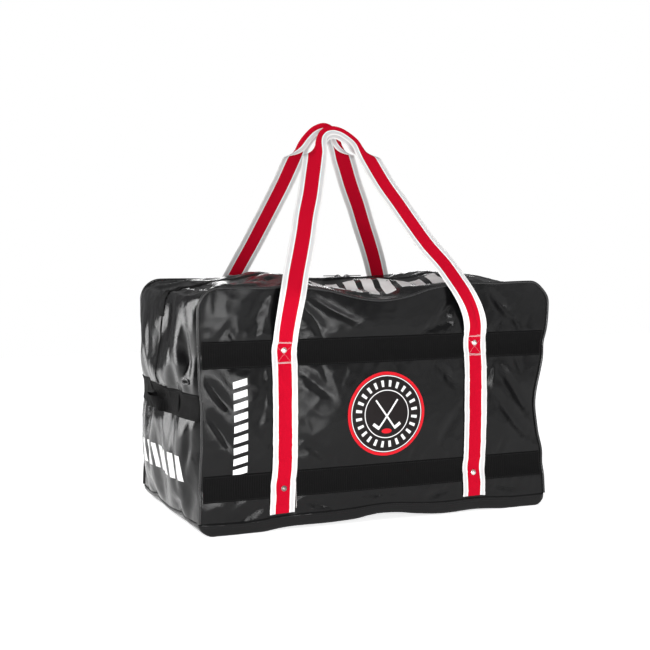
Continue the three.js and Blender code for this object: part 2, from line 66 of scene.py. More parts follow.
# %% The bag's main sizes
MM = 0.001
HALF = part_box("base_panel")[1].x
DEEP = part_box("base_panel")[1].y
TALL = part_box("front_panel")[1].z
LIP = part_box("base_panel")[1].z
CORNER, FOOT_CORNER = 38 * MM, 22 * MM
WALL = 1.2 * MM
WEBBING, WEB_THICK = 50 * MM, 1.6 * MM


def middle(node, axis):
    low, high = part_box(node)
    return (low[axis] + high[axis]) / 2


UPPER, LOWER = middle("front_upper_band", 2), middle("front_lower_band", 2)
END_BAND = middle("left_end_band", 2)
LEG_X = 203 * MM
HINGE_Y, HINGE_Z = 207 * MM, 459 * MM
LID_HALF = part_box("front_lid_flap")[1].x
print("long", 2 * HALF, "deep", 2 * DEEP, "tall", TALL, "bands", UPPER, LOWER, END_BAND)

# %% [markdown]
# ## Camera, floor and light
# A plain pale floor and a soft studio. Black vinyl shows mostly what it mirrors, so the lights
# are white panels: a tall one behind the left end, a wide one at the front left, and weaker ones
# at the front, the right, the rear and above, in a room that is dimmer than the floor.

# %% Camera
camera = bpy.data.objects.new("camera", bpy.data.cameras.new("camera"))
bpy.context.scene.collection.objects.link(camera)
camera.data.lens = 68.99
YAW, PITCH = math.radians(22.775), math.radians(4.395)
camera.location = (-1.0288, -2.3643, 0.5661)
camera.rotation_euler = (math.pi / 2 - PITCH, 0, -YAW)
bpy.context.scene.camera = camera
bpy.context.scene.view_settings.view_transform = "Standard"

# %% [markdown]
# ## Shader maths
# A finish is a small node tree. The class below wraps one output socket, so that an expression
# such as `1 - mask * 0.3` adds its own Math nodes, and `Finish.add` makes any other node.


# %% Expressions on sockets
class Wire:
    def __init__(self, finish, socket):
        self.finish, self.socket = finish, socket

    def maths(self, operation, a, b=0.0, c=0.0):
        return self.finish.add("ShaderNodeMath", {"operation": operation}, {0: a, 1: b, 2: c})

    def __add__(self, other):
        return self.maths("ADD", self, other)

    def __sub__(self, other):
        return self.maths("SUBTRACT", self, other)

    def __rsub__(self, other):
        return self.maths("SUBTRACT", other, self)

    def __mul__(self, other):
        return self.maths("MULTIPLY", self, other)

    def __truediv__(self, other):
        return self.maths("DIVIDE", self, other)

    def __pow__(self, other):
        return self.maths("POWER", self, other)

    def __lt__(self, other):
        return self.maths("LESS_THAN", self, other)

    def __gt__(self, other):
        return self.maths("GREATER_THAN", self, other)

    __radd__, __rmul__ = __add__, __mul__

    def one(self, operation):
        return self.maths(operation, self)

    def near(self, centre, width, soft):
        """1 within width / 2 of the centre, and 0 further out, over a soft edge."""
        off = (self - centre).one("ABSOLUTE")
        return self.finish.clamped((width / 2 + soft / 2 - off) / soft)


class Finish:
    """One material while it is made."""

    def __init__(self, name, **constants):
        self.material = bpy.data.materials.new(name)
        self.material.use_nodes = True
        self.tree = self.material.node_tree
        self.shader = self.tree.nodes["Principled BSDF"]
        for socket, value in constants.items():
            self.set(socket.replace("_", " ").title().replace("Ior", "IOR"), value)

    def add(self, kind, settings=None, values=None, out=0):
        node = self.tree.nodes.new(kind)
        for key, value in (settings or {}).items():
            if key == "stops":
                ramp = node.color_ramp.elements
                while len(ramp) < len(value):
                    ramp.new(0.5)
                for element, (place, colour) in zip(ramp, value):
                    element.position, element.color = place, (*colour, 1)
            else:
                setattr(node, key, value)
        for key, value in (values or {}).items():
            if isinstance(value, Wire):
                self.tree.links.new(value.socket, node.inputs[key])
            else:
                node.inputs[key].default_value = value
        return Wire(self, node.outputs[out])

    def set(self, socket, value):
        if isinstance(value, Wire):
            self.tree.links.new(value.socket, self.shader.inputs[socket])
        elif isinstance(value, tuple) and len(value) == 3:
            self.shader.inputs[socket].default_value = (*value, 1)
        else:
            self.shader.inputs[socket].default_value = value

    def clamped(self, wire):
        return self.add("ShaderNodeClamp", {}, {"Value": wire})

    def mix(self, factor, a, b):
        values = {"Factor": factor, "A": a, "B": b}
        node = self.tree.nodes.new("ShaderNodeMix")
        node.data_type = "RGBA"
        for name, value in values.items():
            socket = [s for s in node.inputs if s.name == name and s.enabled][0]
            if isinstance(value, Wire):
                self.tree.links.new(value.socket, socket)
            else:
                socket.default_value = (*value, 1) if isinstance(value, tuple) else value
        return Wire(self, [s for s in node.outputs if s.enabled][0])

    def across_and_along(self):
        """The piece's own UV map in metres: across first, then along."""
        uv = self.add("ShaderNodeUVMap", {"uv_map": "cloth"})
        split = self.add("ShaderNodeSeparateXYZ", {}, {0: uv})
        return Wire(self, split.socket.node.outputs[0]), Wire(self, split.socket.node.outputs[1])

    def place(self):
        return self.add("ShaderNodeTexCoord", out=3)

    def noise(self, scale, vector=None, detail=3.0, rough=0.55, stretch=None):
        vector = vector or self.place()
        if stretch:
            vector = self.add("ShaderNodeMapping", {}, {"Vector": vector, "Scale": stretch})
        values = {"Vector": vector, "Scale": scale, "Detail": detail, "Roughness": rough}
        return self.add("ShaderNodeTexNoise", {}, values)

    def bump(self, height, distance, strength=1.0, under=None):
        values = {"Height": height, "Distance": distance, "Strength": strength}
        if under:
            values["Normal"] = under
        return self.add("ShaderNodeBump", {}, values)

    def angle(self, y, x):
        """The way to a point as an angle, from 0 to a full turn."""
        return self.add("ShaderNodeMath", {"operation": "ARCTAN2"}, {0: y, 1: x}) + math.pi


def wave(wire, pitch):
    """A sine from -1 to 1 that repeats every pitch metres."""
    return (wire * (2 * math.pi / pitch)).one("SINE")


# %% [markdown]
# ## Coated PVC
# The cloth is a polyester weave with a glossy black PVC skin. The skin mirrors the room, and the
# weave still shows through it as a fine grid of ribs where a highlight lies. Large soft dents
# come from the mesh. Small ones, and the slight changes of gloss, come from noise.


# %% The PVC finish
def pvc_finish(name, gloss=0.085):
    f = Finish(name, specular_ior_level=0.21)
    across, along = f.across_and_along()
    weave = wave(across, 1.5 * MM) * 0.5 + wave(along, 1.9 * MM) * 0.5
    patches = f.noise(9.0, detail=4.0)
    scuffs = f.noise(160.0, detail=2.0)
    tone = f.clamped(patches * 0.6 + scuffs * 0.25)
    f.set("Base Color", f.mix(tone, (0.002, 0.002, 0.0022), (0.0062, 0.0062, 0.0065)))
    f.set("Roughness", gloss + patches * 0.06 + scuffs * 0.04)
    rib = f.bump(weave, 0.035 * MM)
    slack = f.bump(f.noise(6.0, detail=1.0, rough=0.3), 14 * MM, 0.9, rib)
    crumple = f.bump(f.noise(34.0, detail=2.0, rough=0.45), 1.0 * MM, 0.25, slack)
    f.set("Normal", crumple)
    return f.material


pvc = pvc_finish("glossy_pvc")
print("glossy PVC:", len(pvc.node_tree.nodes), "nodes")

# %% [markdown]
# ## Webbing, piping and zip finishes
# Webbing is woven narrow and thick, with ribs across the black bands and lengthwise ribs in the
# pale edges of the striped straps. Its UV map holds metres across and along, so the ribs keep
# their size round every bend.


# %% Black webbing
def black_webbing_finish():
    f = Finish("black_webbing", specular_ior_level=0.1)
    across, along = f.across_and_along()
    rib = wave(along, 1.7 * MM)
    bar = wave(along, 4.6 * MM)
    grain = f.noise(900.0, detail=2.0)
    lustre = f.clamped(bar * 0.45 + rib * 0.2 + 0.3 + grain * 0.2)
    f.set("Base Color", f.mix(lustre, (0.0007, 0.0007, 0.0008), (0.0058, 0.0056, 0.0058)))
    f.set("Roughness", 0.62 + grain * 0.25)
    f.set("Normal", f.bump(rib * 0.7 + wave(across, 0.9 * MM) * 0.3, 0.14 * MM))
    return f.material


# %% Striped webbing
def striped_webbing_finish():
    f = Finish("striped_webbing", roughness=0.85, specular_ior_level=0.08)
    across, along = f.across_and_along()
    off = across.one("ABSOLUTE")
    lengthwise = wave(across, 2.1 * MM)
    picks = wave(along, 1.15 * MM)
    speckle = f.noise(1400.0, detail=1.0)
    outer_line = f.clamped((off - 22.3 * MM) / (0.5 * MM))
    inner_line = off.near(15.4 * MM, 2.0 * MM, 0.5 * MM)
    red_zone = f.clamped((14.2 * MM - off) / (0.4 * MM))
    red_line = off.near(12.6 * MM, 1.6 * MM, 0.6 * MM)
    grey = f.mix(f.clamped(lengthwise * 0.4 + 0.5), (0.55, 0.54, 0.55), (0.70, 0.69, 0.69))
    pale = f.mix(outer_line, grey, (0.80, 0.79, 0.78))
    pale = f.mix(inner_line, pale, (0.80, 0.89, 0.90))
    weft = f.clamped(picks * 0.25 + 0.35 + speckle * 0.3)
    red = f.mix(weft, (0.43, 0.0005, 0.0125), (0.545, 0.0015, 0.022))
    red = f.mix(red_line * 0.75, red, (0.50, 0.001, 0.010))
    f.set("Base Color", f.mix(red_zone, pale, red))
    height = lengthwise * 0.55 + picks * 0.3 + speckle * 0.3
    f.set("Normal", f.bump(height, 0.12 * MM))
    return f.material


# %% Vinyl piping, zip tape and coil, thread
def vinyl_finish(name, colour, roughness, grain=0.2):
    f = Finish(name, base_color=colour, specular_ior_level=0.5)
    soft = f.noise(45.0, detail=3.0)
    fine = f.noise(1100.0, detail=2.0)
    lift = tuple(min(1.0, c * 1.35 + 0.002) for c in colour)
    f.set("Base Color", f.mix(f.clamped(soft * 0.8), colour, lift))
    f.set("Roughness", roughness + soft * 0.12)
    f.set("Normal", f.bump(fine * 0.4 + soft, 0.2 * MM * grain))
    return f.material


def woven_finish(name, dark, light, roughness, pitch=0.9 * MM):
    f = Finish(name, specular_ior_level=0.21)
    across, along = f.across_and_along()
    twill = wave(across + along, pitch) * 0.5 + wave(across - along * 0.35, pitch * 1.3) * 0.5
    fuzz = f.noise(1300.0, detail=2.0)
    f.set("Base Color", f.mix(f.clamped(twill * 0.3 + fuzz * 0.6 + 0.1), dark, light))
    f.set("Roughness", roughness + fuzz * 0.15)
    f.set("Normal", f.bump(twill * 0.6 + fuzz * 0.5, 0.1 * MM))
    return f.material


def metal_finish(name, colour, roughness, tarnish):
    f = Finish(name, metallic=1.0)
    cloud = f.noise(260.0, detail=4.0)
    scratch = f.noise(700.0, detail=2.0, stretch=(1.0, 1.0, 9.0))
    dull = tuple(c * (1 - tarnish) for c in colour)
    f.set("Base Color", f.mix(f.clamped(cloud * 1.3 - 0.25), colour, dull))
    f.set("Roughness", roughness + cloud * 0.15 + scratch * 0.08)
    f.set("Normal", f.bump(scratch, 0.02 * MM))
    return f.material


black_webbing = black_webbing_finish()
striped_webbing = striped_webbing_finish()
piping_vinyl = vinyl_finish("piping_vinyl", (0.009, 0.009, 0.0095), 0.22)
print_vinyl = vinyl_finish("print_vinyl", (0.86, 0.86, 0.85), 0.42)
zip_tape = woven_finish("zip_tape", (0.004, 0.004, 0.004), (0.016, 0.016, 0.016), 0.75)
black_nylon = vinyl_finish("black_nylon", (0.006, 0.006, 0.0065), 0.3)
black_thread = woven_finish("black_thread", (0.006, 0.006, 0.006), (0.03, 0.03, 0.03), 0.6)
white_thread = woven_finish("white_thread", (0.62, 0.58, 0.58), (0.86, 0.83, 0.82), 0.7)
grey_thread = woven_finish("grey_thread", (0.42, 0.30, 0.31), (0.66, 0.52, 0.52), 0.7)
nickel = metal_finish("nickel", (0.86, 0.84, 0.80), 0.16, 0.2)
# A darker copy of the nickel, used only for the lower left rivets.
darker_nickel = metal_finish("darker_nickel_metal", (0.30, 0.28, 0.26), 0.35, 0.5)
dark_zinc = metal_finish("dark_zinc", (0.13, 0.13, 0.14), 0.28, 0.4)

# %% [markdown]
# ## The cloth shell
# The body of the bag is one closed skin of cloth: a front and a rear panel, and a ring that runs
# round the bottom, the two ends and the top. It starts as a grid of points laid out as the
# pattern pieces are. The grid is first set where stuffing and straps pull it, and a
# cloth simulation then lets it buckle between the sewn lines.

# %% The grid of the shell
COLUMNS, ROWS, DEEP_ROWS = 77, 48, 42
flat_x = np.linspace(-HALF, HALF, COLUMNS + 1)
flat_z = np.linspace(0, TALL, ROWS + 1)
flat_y = np.linspace(-DEEP, DEEP, DEEP_ROWS + 1)


def bell(value, centre, width):
    return np.exp(-(((value - centre) / width) ** 2))


def swell(value, low, high):
    t = np.clip((value - low) / (high - low), 0, 1)
    return 4 * t * (1 - t)


def ease(value, low, high):
    t = np.clip((value - low) / (high - low), 0, 1)
    return t * t * (3 - 2 * t)


def rounded(x, z):
    """Moves points of the flat rectangle so that its four corners are quarter circles."""
    radius = np.where(z > TALL / 2, CORNER, FOOT_CORNER)
    side, up = np.sign(x), np.where(z > TALL / 2, 1, -1)
    centre_x, centre_z = side * (HALF - radius), np.where(z > TALL / 2, TALL - radius, radius)
    a = np.clip((x - centre_x) * side / radius, 0, 1)
    b = np.clip((z - centre_z) * up / radius, 0, 1)
    return (
        np.where(a > 0, centre_x + side * radius * a * np.sqrt(1 - b * b / 2), x),
        np.where(b > 0, centre_z + up * radius * b * np.sqrt(1 - a * a / 2), z),
    )


def seam_sag(x):
    """How far the top seams sink between the straps."""
    return bell(x, -0.005, 0.105)


def panel_shape(front):
    """The front or rear panel, set as the stuffing and the straps hold it."""
    x, z = np.meshgrid(flat_x, flat_z, indexing="ij")
    px, pz = rounded(x, z)
    top, foot = ease(z, UPPER + 0.022, TALL), 1 - ease(z, 0, LOWER - 0.02)
    sag, lift = (0.028, 0.012) if front else (0.013, 0.007)
    pz = pz - sag * seam_sag(x) * top + lift * bell(x, -0.015, 0.15) * foot
    pz = pz + 0.0025 * np.sin(x * 31 + 1.1) * foot
    pinch = 0.025 if front else 0.012
    px = px - pinch * bell(z, 0.215, 0.1) * ease(x, 0.24, HALF)
    px = px + 0.006 * bell(z, 0.2, 0.09) * ease(-x, 0.27, HALF)
    out = 0.006 * swell(x, -HALF, HALF) * swell(z, 0, TALL)
    belly = 0.008 * swell(x, -LEG_X, LEG_X) + 0.006 * swell(np.abs(x), LEG_X, HALF)
    out = out + belly * swell(z, LOWER + 0.025, UPPER - 0.025)
    out = out + 0.010 * seam_sag(x) * swell(z, UPPER + 0.02, TALL + 0.03) * (1 if front else 0.5)
    out = out - 0.004 * (bell(z, UPPER, 0.02) + bell(z, LOWER, 0.02))
    out = out - 0.003 * bell(np.abs(x), LEG_X, 0.03)
    return np.stack([px, np.full_like(px, -DEEP) - out, pz], 2) * (1, 1 if front else -1, 1)


def round_the_rim(grid):
    """A panel's rim, from its bottom left corner up, along the top, down and back."""
    return np.concatenate([grid[0, :-1], grid[:-1, -1], grid[-1, :0:-1], grid[:0:-1, 0]])


AROUND = 2 * (COLUMNS + ROWS)
front_grid, rear_grid = panel_shape(True), panel_shape(False)
x, z = np.meshgrid(flat_x, flat_z, indexing="ij")
flat_rim = round_the_rim(np.stack([x, z], 2))
rim = round_the_rim(np.stack(rounded(x, z), 2))
tangent = np.roll(rim, -1, 0) - np.roll(rim, 1, 0)
rim_out = np.stack([-tangent[:, 1], tangent[:, 0]], 1)
rim_out /= np.linalg.norm(rim_out, axis=1)[:, None]
rim_out = np.insert(rim_out, 1, 0, axis=1)
print("grid", front_grid.shape, "ring of", AROUND, "columns; first step out", rim_out[20])


# %% The ring: base, ends and lid
def ring_shape():
    x, z = flat_rim[:, :1], flat_rim[:, 1:]
    y = flat_y[None, :]
    grid = np.stack([np.repeat(rim[:, :1], len(flat_y), 1), np.repeat(y, AROUND, 0),
                     np.repeat(rim[:, 1:], len(flat_y), 1)], 2)
    is_lid, is_base = z > TALL - 1e-6, z < 1e-6
    is_end = ~is_lid & ~is_base
    across = swell(y, -DEEP, DEEP)
    low_belly = swell(z, LIP * 0.4, TALL + 0.03) ** 0.8
    left = 0.024 * across**0.75 * low_belly * (1 - 0.35 * bell(z, END_BAND, 0.03))
    right = 0.020 * across**0.8 * low_belly
    out = np.where(is_end, np.where(x < 0, left, right), 0)
    ridge = 0.004 + 0.016 * bell(x, -0.165, 0.075) + 0.012 * bell(x, 0.225, 0.07)
    ridge = (ridge + 0.006 * bell(x, 0.02, 0.09)) * ease(HALF - np.abs(x), 0.01, 0.09)
    out = out + np.where(is_lid, ridge * across**0.7, 0)
    out = out + np.where(is_lid, -0.006 * bell(np.abs(x), 0.33, 0.03) * across, 0)
    grid = grid + rim_out[:, None, :] * out[:, :, None]
    for panel, side in ((front_grid, -1), (rear_grid, 1)):
        moved = round_the_rim(panel) - np.insert(rim, 1, side * DEEP, axis=1)
        share = np.clip(side * y[0] / DEEP, 0, 1)
        share = np.where(is_lid, share, share**2)
        grid = grid + moved[:, None, :] * share[:, :, None]
    return grid


ring_grid = ring_shape()
print("ring", ring_grid.shape, "left end at", round(float(ring_grid[..., 0].min()), 4))

# %% [markdown]
# ## Buckling
# The three grids are welded into one mesh. The webbing and the seams hold it, and everything
# between them is a little larger than the space it fills, so the simulation pushes it into
# folds. A point may move only so far, which keeps the bag close to the CAD box.


# %% Cloth simulation of the shell
def weld(front, rear, ring):
    """Point numbers of each grid in one list of points, sharing the rims."""
    points = list(ring.reshape(-1, 3))
    ring_id = np.arange(ring.shape[0] * ring.shape[1]).reshape(ring.shape[:2])
    ids = []
    for grid, row in ((front, 0), (rear, -1)):
        own = np.full(grid.shape[:2], -1)
        along = round_the_rim(np.stack(np.meshgrid(np.arange(COLUMNS + 1), np.arange(ROWS + 1),
                                                   indexing="ij"), 2))
        own[along[:, 0], along[:, 1]] = ring_id[:, row]
        inside = own < 0
        own[inside] = len(points) + np.arange(inside.sum())
        points += list(grid[inside])
        ids.append(own)
    return np.array(points), ids[0], ids[1], ring_id


def quads(ids, closed=False):
    a = ids if not closed else np.concatenate([ids, ids[:1]])
    faces = np.stack([a[:-1, :-1], a[1:, :-1], a[1:, 1:], a[:-1, 1:]], 2)
    return faces.reshape(-1, 4)


def holding(points):
    """How firmly webbing, seams and base hold each point, from 0 to 1."""
    x, y, z = points.T
    panel = np.abs(np.abs(y) - DEEP) < 0.03
    hold = np.where(panel, np.maximum(bell(z, UPPER, 0.021), bell(z, LOWER, 0.021)), 0)
    leg = bell(np.abs(x), LEG_X, 0.02) * (z < UPPER + 0.03) * panel
    end = (bell(z, END_BAND, 0.02) * 0.7 + 0.35 * bell(y, 0, 0.015)) * (np.abs(x) > HALF - 0.03)
    edge = 0.8 * ease(np.abs(y), DEEP - 0.012, DEEP)
    zip_line = 0.85 * bell(y, 0, 0.02) * (z > TALL - 0.03) + 0.3 * (z > TALL - 0.03)
    base = 1.0 * (z < 0.008)
    return np.clip(np.max([hold, leg, end, edge, zip_line, base], 0), 0, 1)


def buckle(points, faces, hold, spare, frames, cap):
    """Lets spare cloth buckle, by a share of its size. No point moves further than cap."""
    mesh = bpy.data.meshes.new("shell")
    mesh.from_pydata(points.tolist(), [], faces.tolist())
    shell = bpy.data.objects.new("shell", mesh)
    bpy.context.scene.collection.objects.link(shell)
    group = shell.vertex_groups.new(name="held")
    for step in range(1, 11):
        for i in np.flatnonzero(np.round(hold * 10) == step):
            group.add([int(i)], step / 10, "REPLACE")
    cloth = shell.modifiers.new("buckle", "CLOTH")
    s = cloth.settings
    s.quality, s.mass = 6, 0.3
    s.tension_stiffness, s.compression_stiffness, s.shear_stiffness = 40, 40, 15
    s.bending_stiffness = 60
    s.shrink_min, s.shrink_max = -spare, -spare
    s.use_pressure, s.uniform_pressure_force = True, 1.5
    s.vertex_group_mass, s.pin_stiffness = "held", 1.0
    s.effector_weights.gravity = 0.25
    cloth.point_cache.frame_start, cloth.point_cache.frame_end = 1, frames
    for step in range(1, frames + 1):
        bpy.context.scene.frame_set(step)
    done = shell.evaluated_get(bpy.context.evaluated_depsgraph_get()).to_mesh()
    moved = np.empty(len(points) * 3)
    done.vertices.foreach_get("co", moved)
    bpy.data.objects.remove(shell)
    bpy.context.scene.frame_set(1)
    step = moved.reshape(-1, 3) - points
    size = np.linalg.norm(step, axis=1)[:, None]
    return points + step / np.maximum(size, 1e-9) * cap * np.tanh(size / cap)


points, front_id, rear_id, ring_id = weld(front_grid, rear_grid, ring_grid)
faces = np.concatenate([quads(front_id), quads(rear_id)[:, ::-1], quads(ring_id, True)[:, ::-1]])
before = points
points = buckle(points, faces, holding(points), spare=0.028, frames=26, cap=0.016)
moves = np.linalg.norm(points - before, axis=1)
print("the cloth moved", round(float(moves.mean() * 1000), 2), "mm on average,",
      round(float(moves.max() * 1000), 1), "at most")


def eased(points, before, faces, passes):
    """Evens out the moves between neighbours, against folds as narrow as one cell."""
    ends = np.concatenate([faces[:, [0, 1]], faces[:, [1, 2]], faces[:, [2, 3]], faces[:, [3, 0]]])
    many = np.bincount(ends.ravel(), minlength=len(points))[:, None]
    step = points - before
    for _ in range(passes):
        total = np.zeros_like(step)
        np.add.at(total, ends[:, 0], step[ends[:, 1]])
        np.add.at(total, ends[:, 1], step[ends[:, 0]])
        step = 0.4 * step + 0.6 * total / many
    return before + step


points = eased(points, before, faces, passes=5)
front_grid, rear_grid, ring_grid = points[front_id], points[rear_id], points[ring_id]

# %% [markdown]
# ## Reading the skin
# Every sewn part lies on this skin, so each one asks it for its place. A spot is named by its
# place on the flat pattern piece, and the skin answers with the point in space. Folds too
# narrow for the grid are added here: each is a line on the pattern with a depth and a width.


# %% Smooth reading of a grid
def read_grid(grid, u, v, closed=False):
    """Catmull-Rom reading of a grid of points at fractional places u, v."""
    if closed:
        padded = np.concatenate([grid[-1:], grid, grid[:2]])
    else:
        padded = np.concatenate([2 * grid[:1] - grid[1:2], grid, 2 * grid[-1:] - grid[-2:-1]])
    padded = np.concatenate(
        [2 * padded[:, :1] - padded[:, 1:2], padded, 2 * padded[:, -1:] - padded[:, -2:-1]], 1)
    u = u % len(grid) if closed else u
    i = np.clip(np.floor(u).astype(int), 0, len(padded) - 4)
    j = np.clip(np.floor(v).astype(int), 0, padded.shape[1] - 4)

    def weights(t):
        return (-t + 2 * t**2 - t**3) / 2, (2 - 5 * t**2 + 3 * t**3) / 2, \
            (t + 4 * t**2 - 3 * t**3) / 2, (t**3 - t**2) / 2

    total = 0
    for a, wa in enumerate(weights(u - i)):
        for b, wb in enumerate(weights(v - j)):
            total = total + padded[i + a, j + b] * (wa * wb)[..., None]
    return total


class Wrinkles:
    """Fine folds in metres on a pattern piece, from drawn lines and seeded waves."""

    def __init__(self, lines, seed, waves, busy):
        self.lines, self.waves, self.busy = lines, waves, busy
        draw = np.random.default_rng(seed)
        angle = draw.uniform(0, math.pi, 26)
        pitch = draw.uniform(0.03, 0.085, 26)
        self.kx, self.kz = 2 * np.pi * np.cos(angle) / pitch, 2 * np.pi * np.sin(angle) / pitch
        self.phase = draw.uniform(0, 2 * math.pi, 26)

    def at(self, a, b):
        field = sum(np.sin(kx * a + kz * b + p)
                    for kx, kz, p in zip(self.kx, self.kz, self.phase)) / 3.6
        total = self.waves * self.busy(a, b) * (1 - 1.6 * np.abs(np.tanh(field)))
        for a0, b0, a1, b1, depth, width in self.lines:
            along_a, along_b = a1 - a0, b1 - b0
            long = along_a**2 + along_b**2
            t = np.clip(((a - a0) * along_a + (b - b0) * along_b) / long, 0, 1)
            off = (a - a0 - t * along_a) ** 2 + (b - b0 - t * along_b) ** 2
            total = total - depth * np.exp(-off / width**2) * np.sin(np.pi * (0.12 + 0.76 * t))
        return total


# %% Places on the front, the rear and the ring
def near_seams(a, b):
    """More small folds beside the bands and the strap legs."""
    bands = bell(b, UPPER, 0.055) + bell(b, LOWER, 0.05)
    return 0.35 + 0.5 * bands + 0.55 * bell(np.abs(a), LEG_X, 0.05)


def puckers(places, level, up, depth=1.6 * MM):
    """Short creases that leave a sewn edge."""
    return [(p, level, p + lean, level + up * tall, depth, 5 * MM) for p, lean, tall in places]


ABOVE, UNDER, OVER = UPPER + 0.027, UPPER - 0.027, LOWER + 0.027
FRONT_FOLDS = puckers(
    [(-0.33, 0.02, 0.03), (-0.30, -0.01, 0.02), (-0.262, 0.012, 0.035), (-0.125, -0.012, 0.02),
     (0.09, 0.02, 0.035), (0.128, 0.018, 0.04), (0.152, -0.01, 0.03), (0.25, 0.01, 0.02),
     (0.31, -0.02, 0.03)], ABOVE, 1, 2.2 * MM
) + puckers(
    [(-0.325, 0.014, 0.03), (-0.24, -0.008, 0.02), (-0.13, 0.015, 0.035), (0.02, 0.01, 0.02),
     (0.13, 0.012, 0.03), (0.245, -0.012, 0.04), (0.3, 0.02, 0.03)], UNDER, -1
) + puckers(
    [(-0.31, 0.01, 0.025), (-0.155, 0.012, 0.03), (-0.09, -0.01, 0.02), (0.06, 0.01, 0.03),
     (0.15, -0.012, 0.028), (0.26, 0.012, 0.03)], OVER, 1
) + [
    (-0.170, 0.430, -0.120, 0.375, 4.5 * MM, 10 * MM), (-0.150, 0.440, -0.060, 0.400, 3 * MM, 8 * MM),
    (0.165, 0.440, 0.110, 0.372, 5 * MM, 10 * MM), (0.155, 0.385, 0.080, 0.368, 4 * MM, 7 * MM),
    (-0.235, 0.445, -0.270, 0.385, 3.5 * MM, 9 * MM), (0.235, 0.445, 0.285, 0.390, 4 * MM, 9 * MM),
    (0.250, 0.300, 0.345, 0.200, 4.5 * MM, 10 * MM), (0.240, 0.240, 0.335, 0.150, 4 * MM, 11 * MM),
    (-0.350, 0.285, -0.315, 0.235, 6 * MM, 9 * MM), (-0.352, 0.225, -0.310, 0.165, 6 * MM, 10 * MM),
    (-0.240, 0.270, -0.265, 0.180, 2.5 * MM, 12 * MM), (-0.170, 0.300, -0.110, 0.250, 3 * MM, 11 * MM),
    (-0.165, 0.170, -0.120, 0.130, 3 * MM, 9 * MM), (0.120, 0.300, 0.165, 0.250, 3 * MM, 9 * MM),
    (0.165, 0.210, 0.120, 0.140, 3 * MM, 10 * MM), (-0.245, 0.050, -0.290, 0.028, 3 * MM, 7 * MM),
    (-0.160, 0.052, -0.110, 0.034, 3.5 * MM, 7 * MM), (0.150, 0.052, 0.100, 0.036, 3 * MM, 7 * MM),
    (-0.060, 0.055, 0.030, 0.050, 2 * MM, 8 * MM), (0.250, 0.052, 0.310, 0.040, 3 * MM, 8 * MM),
]
LEFT_FOLDS = [
    (-0.150, 0.395, -0.165, 0.275, 6 * MM, 15 * MM), (-0.085, 0.380, -0.105, 0.285, 2.5 * MM, 16 * MM),
    (-0.035, 0.405, -0.060, 0.280, 2 * MM, 12 * MM), (0.065, 0.405, 0.045, 0.280, 3 * MM, 15 * MM),
    (0.130, 0.400, 0.120, 0.280, 3 * MM, 14 * MM), (-0.170, 0.330, -0.130, 0.275, 3 * MM, 9 * MM),
    (-0.165, 0.205, -0.150, 0.120, 4.5 * MM, 10 * MM), (-0.090, 0.205, -0.110, 0.080, 4 * MM, 12 * MM),
    (-0.020, 0.205, -0.035, 0.090, 4 * MM, 12 * MM), (0.060, 0.205, 0.080, 0.080, 4.5 * MM, 12 * MM),
    (0.130, 0.205, 0.120, 0.100, 3.5 * MM, 11 * MM), (-0.120, 0.060, -0.060, 0.030, 3 * MM, 8 * MM),
]
LID_FOLDS = [
    (-0.230, -0.190, -0.190, -0.060, 3 * MM, 9 * MM), (0.215, -0.190, 0.185, -0.070, 3 * MM, 9 * MM),
    (-0.285, -0.150, -0.240, -0.050, 3 * MM, 10 * MM), (0.285, -0.160, 0.240, -0.050, 3 * MM, 10 * MM),
    (-0.230, 0.190, -0.190, 0.060, 3 * MM, 9 * MM), (0.215, 0.190, 0.185, 0.070, 3 * MM, 9 * MM),
]
front_wrinkles = Wrinkles(FRONT_FOLDS, 4, 0.9 * MM, near_seams)
rear_wrinkles = Wrinkles([(-a, b, -c, d, e, w) for a, b, c, d, e, w in FRONT_FOLDS[::2]],
                         9, 0.9 * MM, near_seams)
left_wrinkles = Wrinkles(LEFT_FOLDS, 15, 0.4 * MM, lambda a, b: 0.8 + 0 * a)
right_wrinkles = Wrinkles([(-a, b, -c, d, e * 0.8, w) for a, b, c, d, e, w in LEFT_FOLDS],
                          23, 1.0 * MM, lambda a, b: 0.8 + 0 * a)
lid_wrinkles = Wrinkles(LID_FOLDS, 31, 0.9 * MM, lambda a, b: 0.35 + 0.4 * ease(np.abs(b), 0.03, 0.12))


class Skin:
    """One pattern piece of the skin. place(a, b) and out(a, b) take arrays in metres."""

    def __init__(self, read, wrinkles, toward, rim):
        self.read, self.wrinkles, self.toward, self.rim = read, wrinkles, toward, rim

    def raw(self, a, b):
        a, b = np.broadcast_arrays(np.asarray(a, float), np.asarray(b, float))
        fold = self.wrinkles.at(a, b) * self.rim(a, b)
        return self.read(a, b) + fold[..., None] * self.toward(a, b)

    def out(self, a, b, reach=1.5 * MM):
        side = self.raw(a + reach, b) - self.raw(a - reach, b)
        up = self.raw(a, b + reach) - self.raw(a, b - reach)
        n = np.cross(side, up)
        n /= np.linalg.norm(n, axis=-1, keepdims=True)
        facing = (n * self.toward(a, b)).sum(-1, keepdims=True)
        return n * np.where(facing < 0, -1, 1)

    def place(self, a, b, off=0.0):
        off = np.asarray(off, float)
        if not off.any():
            return self.raw(a, b)
        return self.raw(a, b) + self.out(a, b) * off[..., None]


def inside_panel(a, b):
    return ease(HALF - np.abs(a), 0.001, 0.016) * ease(TALL - b, 0.001, 0.016) * ease(b, 0, 0.02)


def fixed(x, y, z):
    way = np.array([x, y, z], float)
    return lambda a, b: np.broadcast_to(way, (*np.broadcast(a, b).shape, 3))


def panel_reader(grid):
    return lambda x, z: read_grid(grid, (x + HALF) / (2 * HALF) * COLUMNS, z / TALL * ROWS)


def ring_reader(column):
    """Reads the ring at (a, y), where column turns a into a fractional ring column."""
    return lambda a, y: read_grid(ring_grid, column(a), (y + DEEP) / (2 * DEEP) * DEEP_ROWS, True)


def left_column(z):
    return z / TALL * ROWS


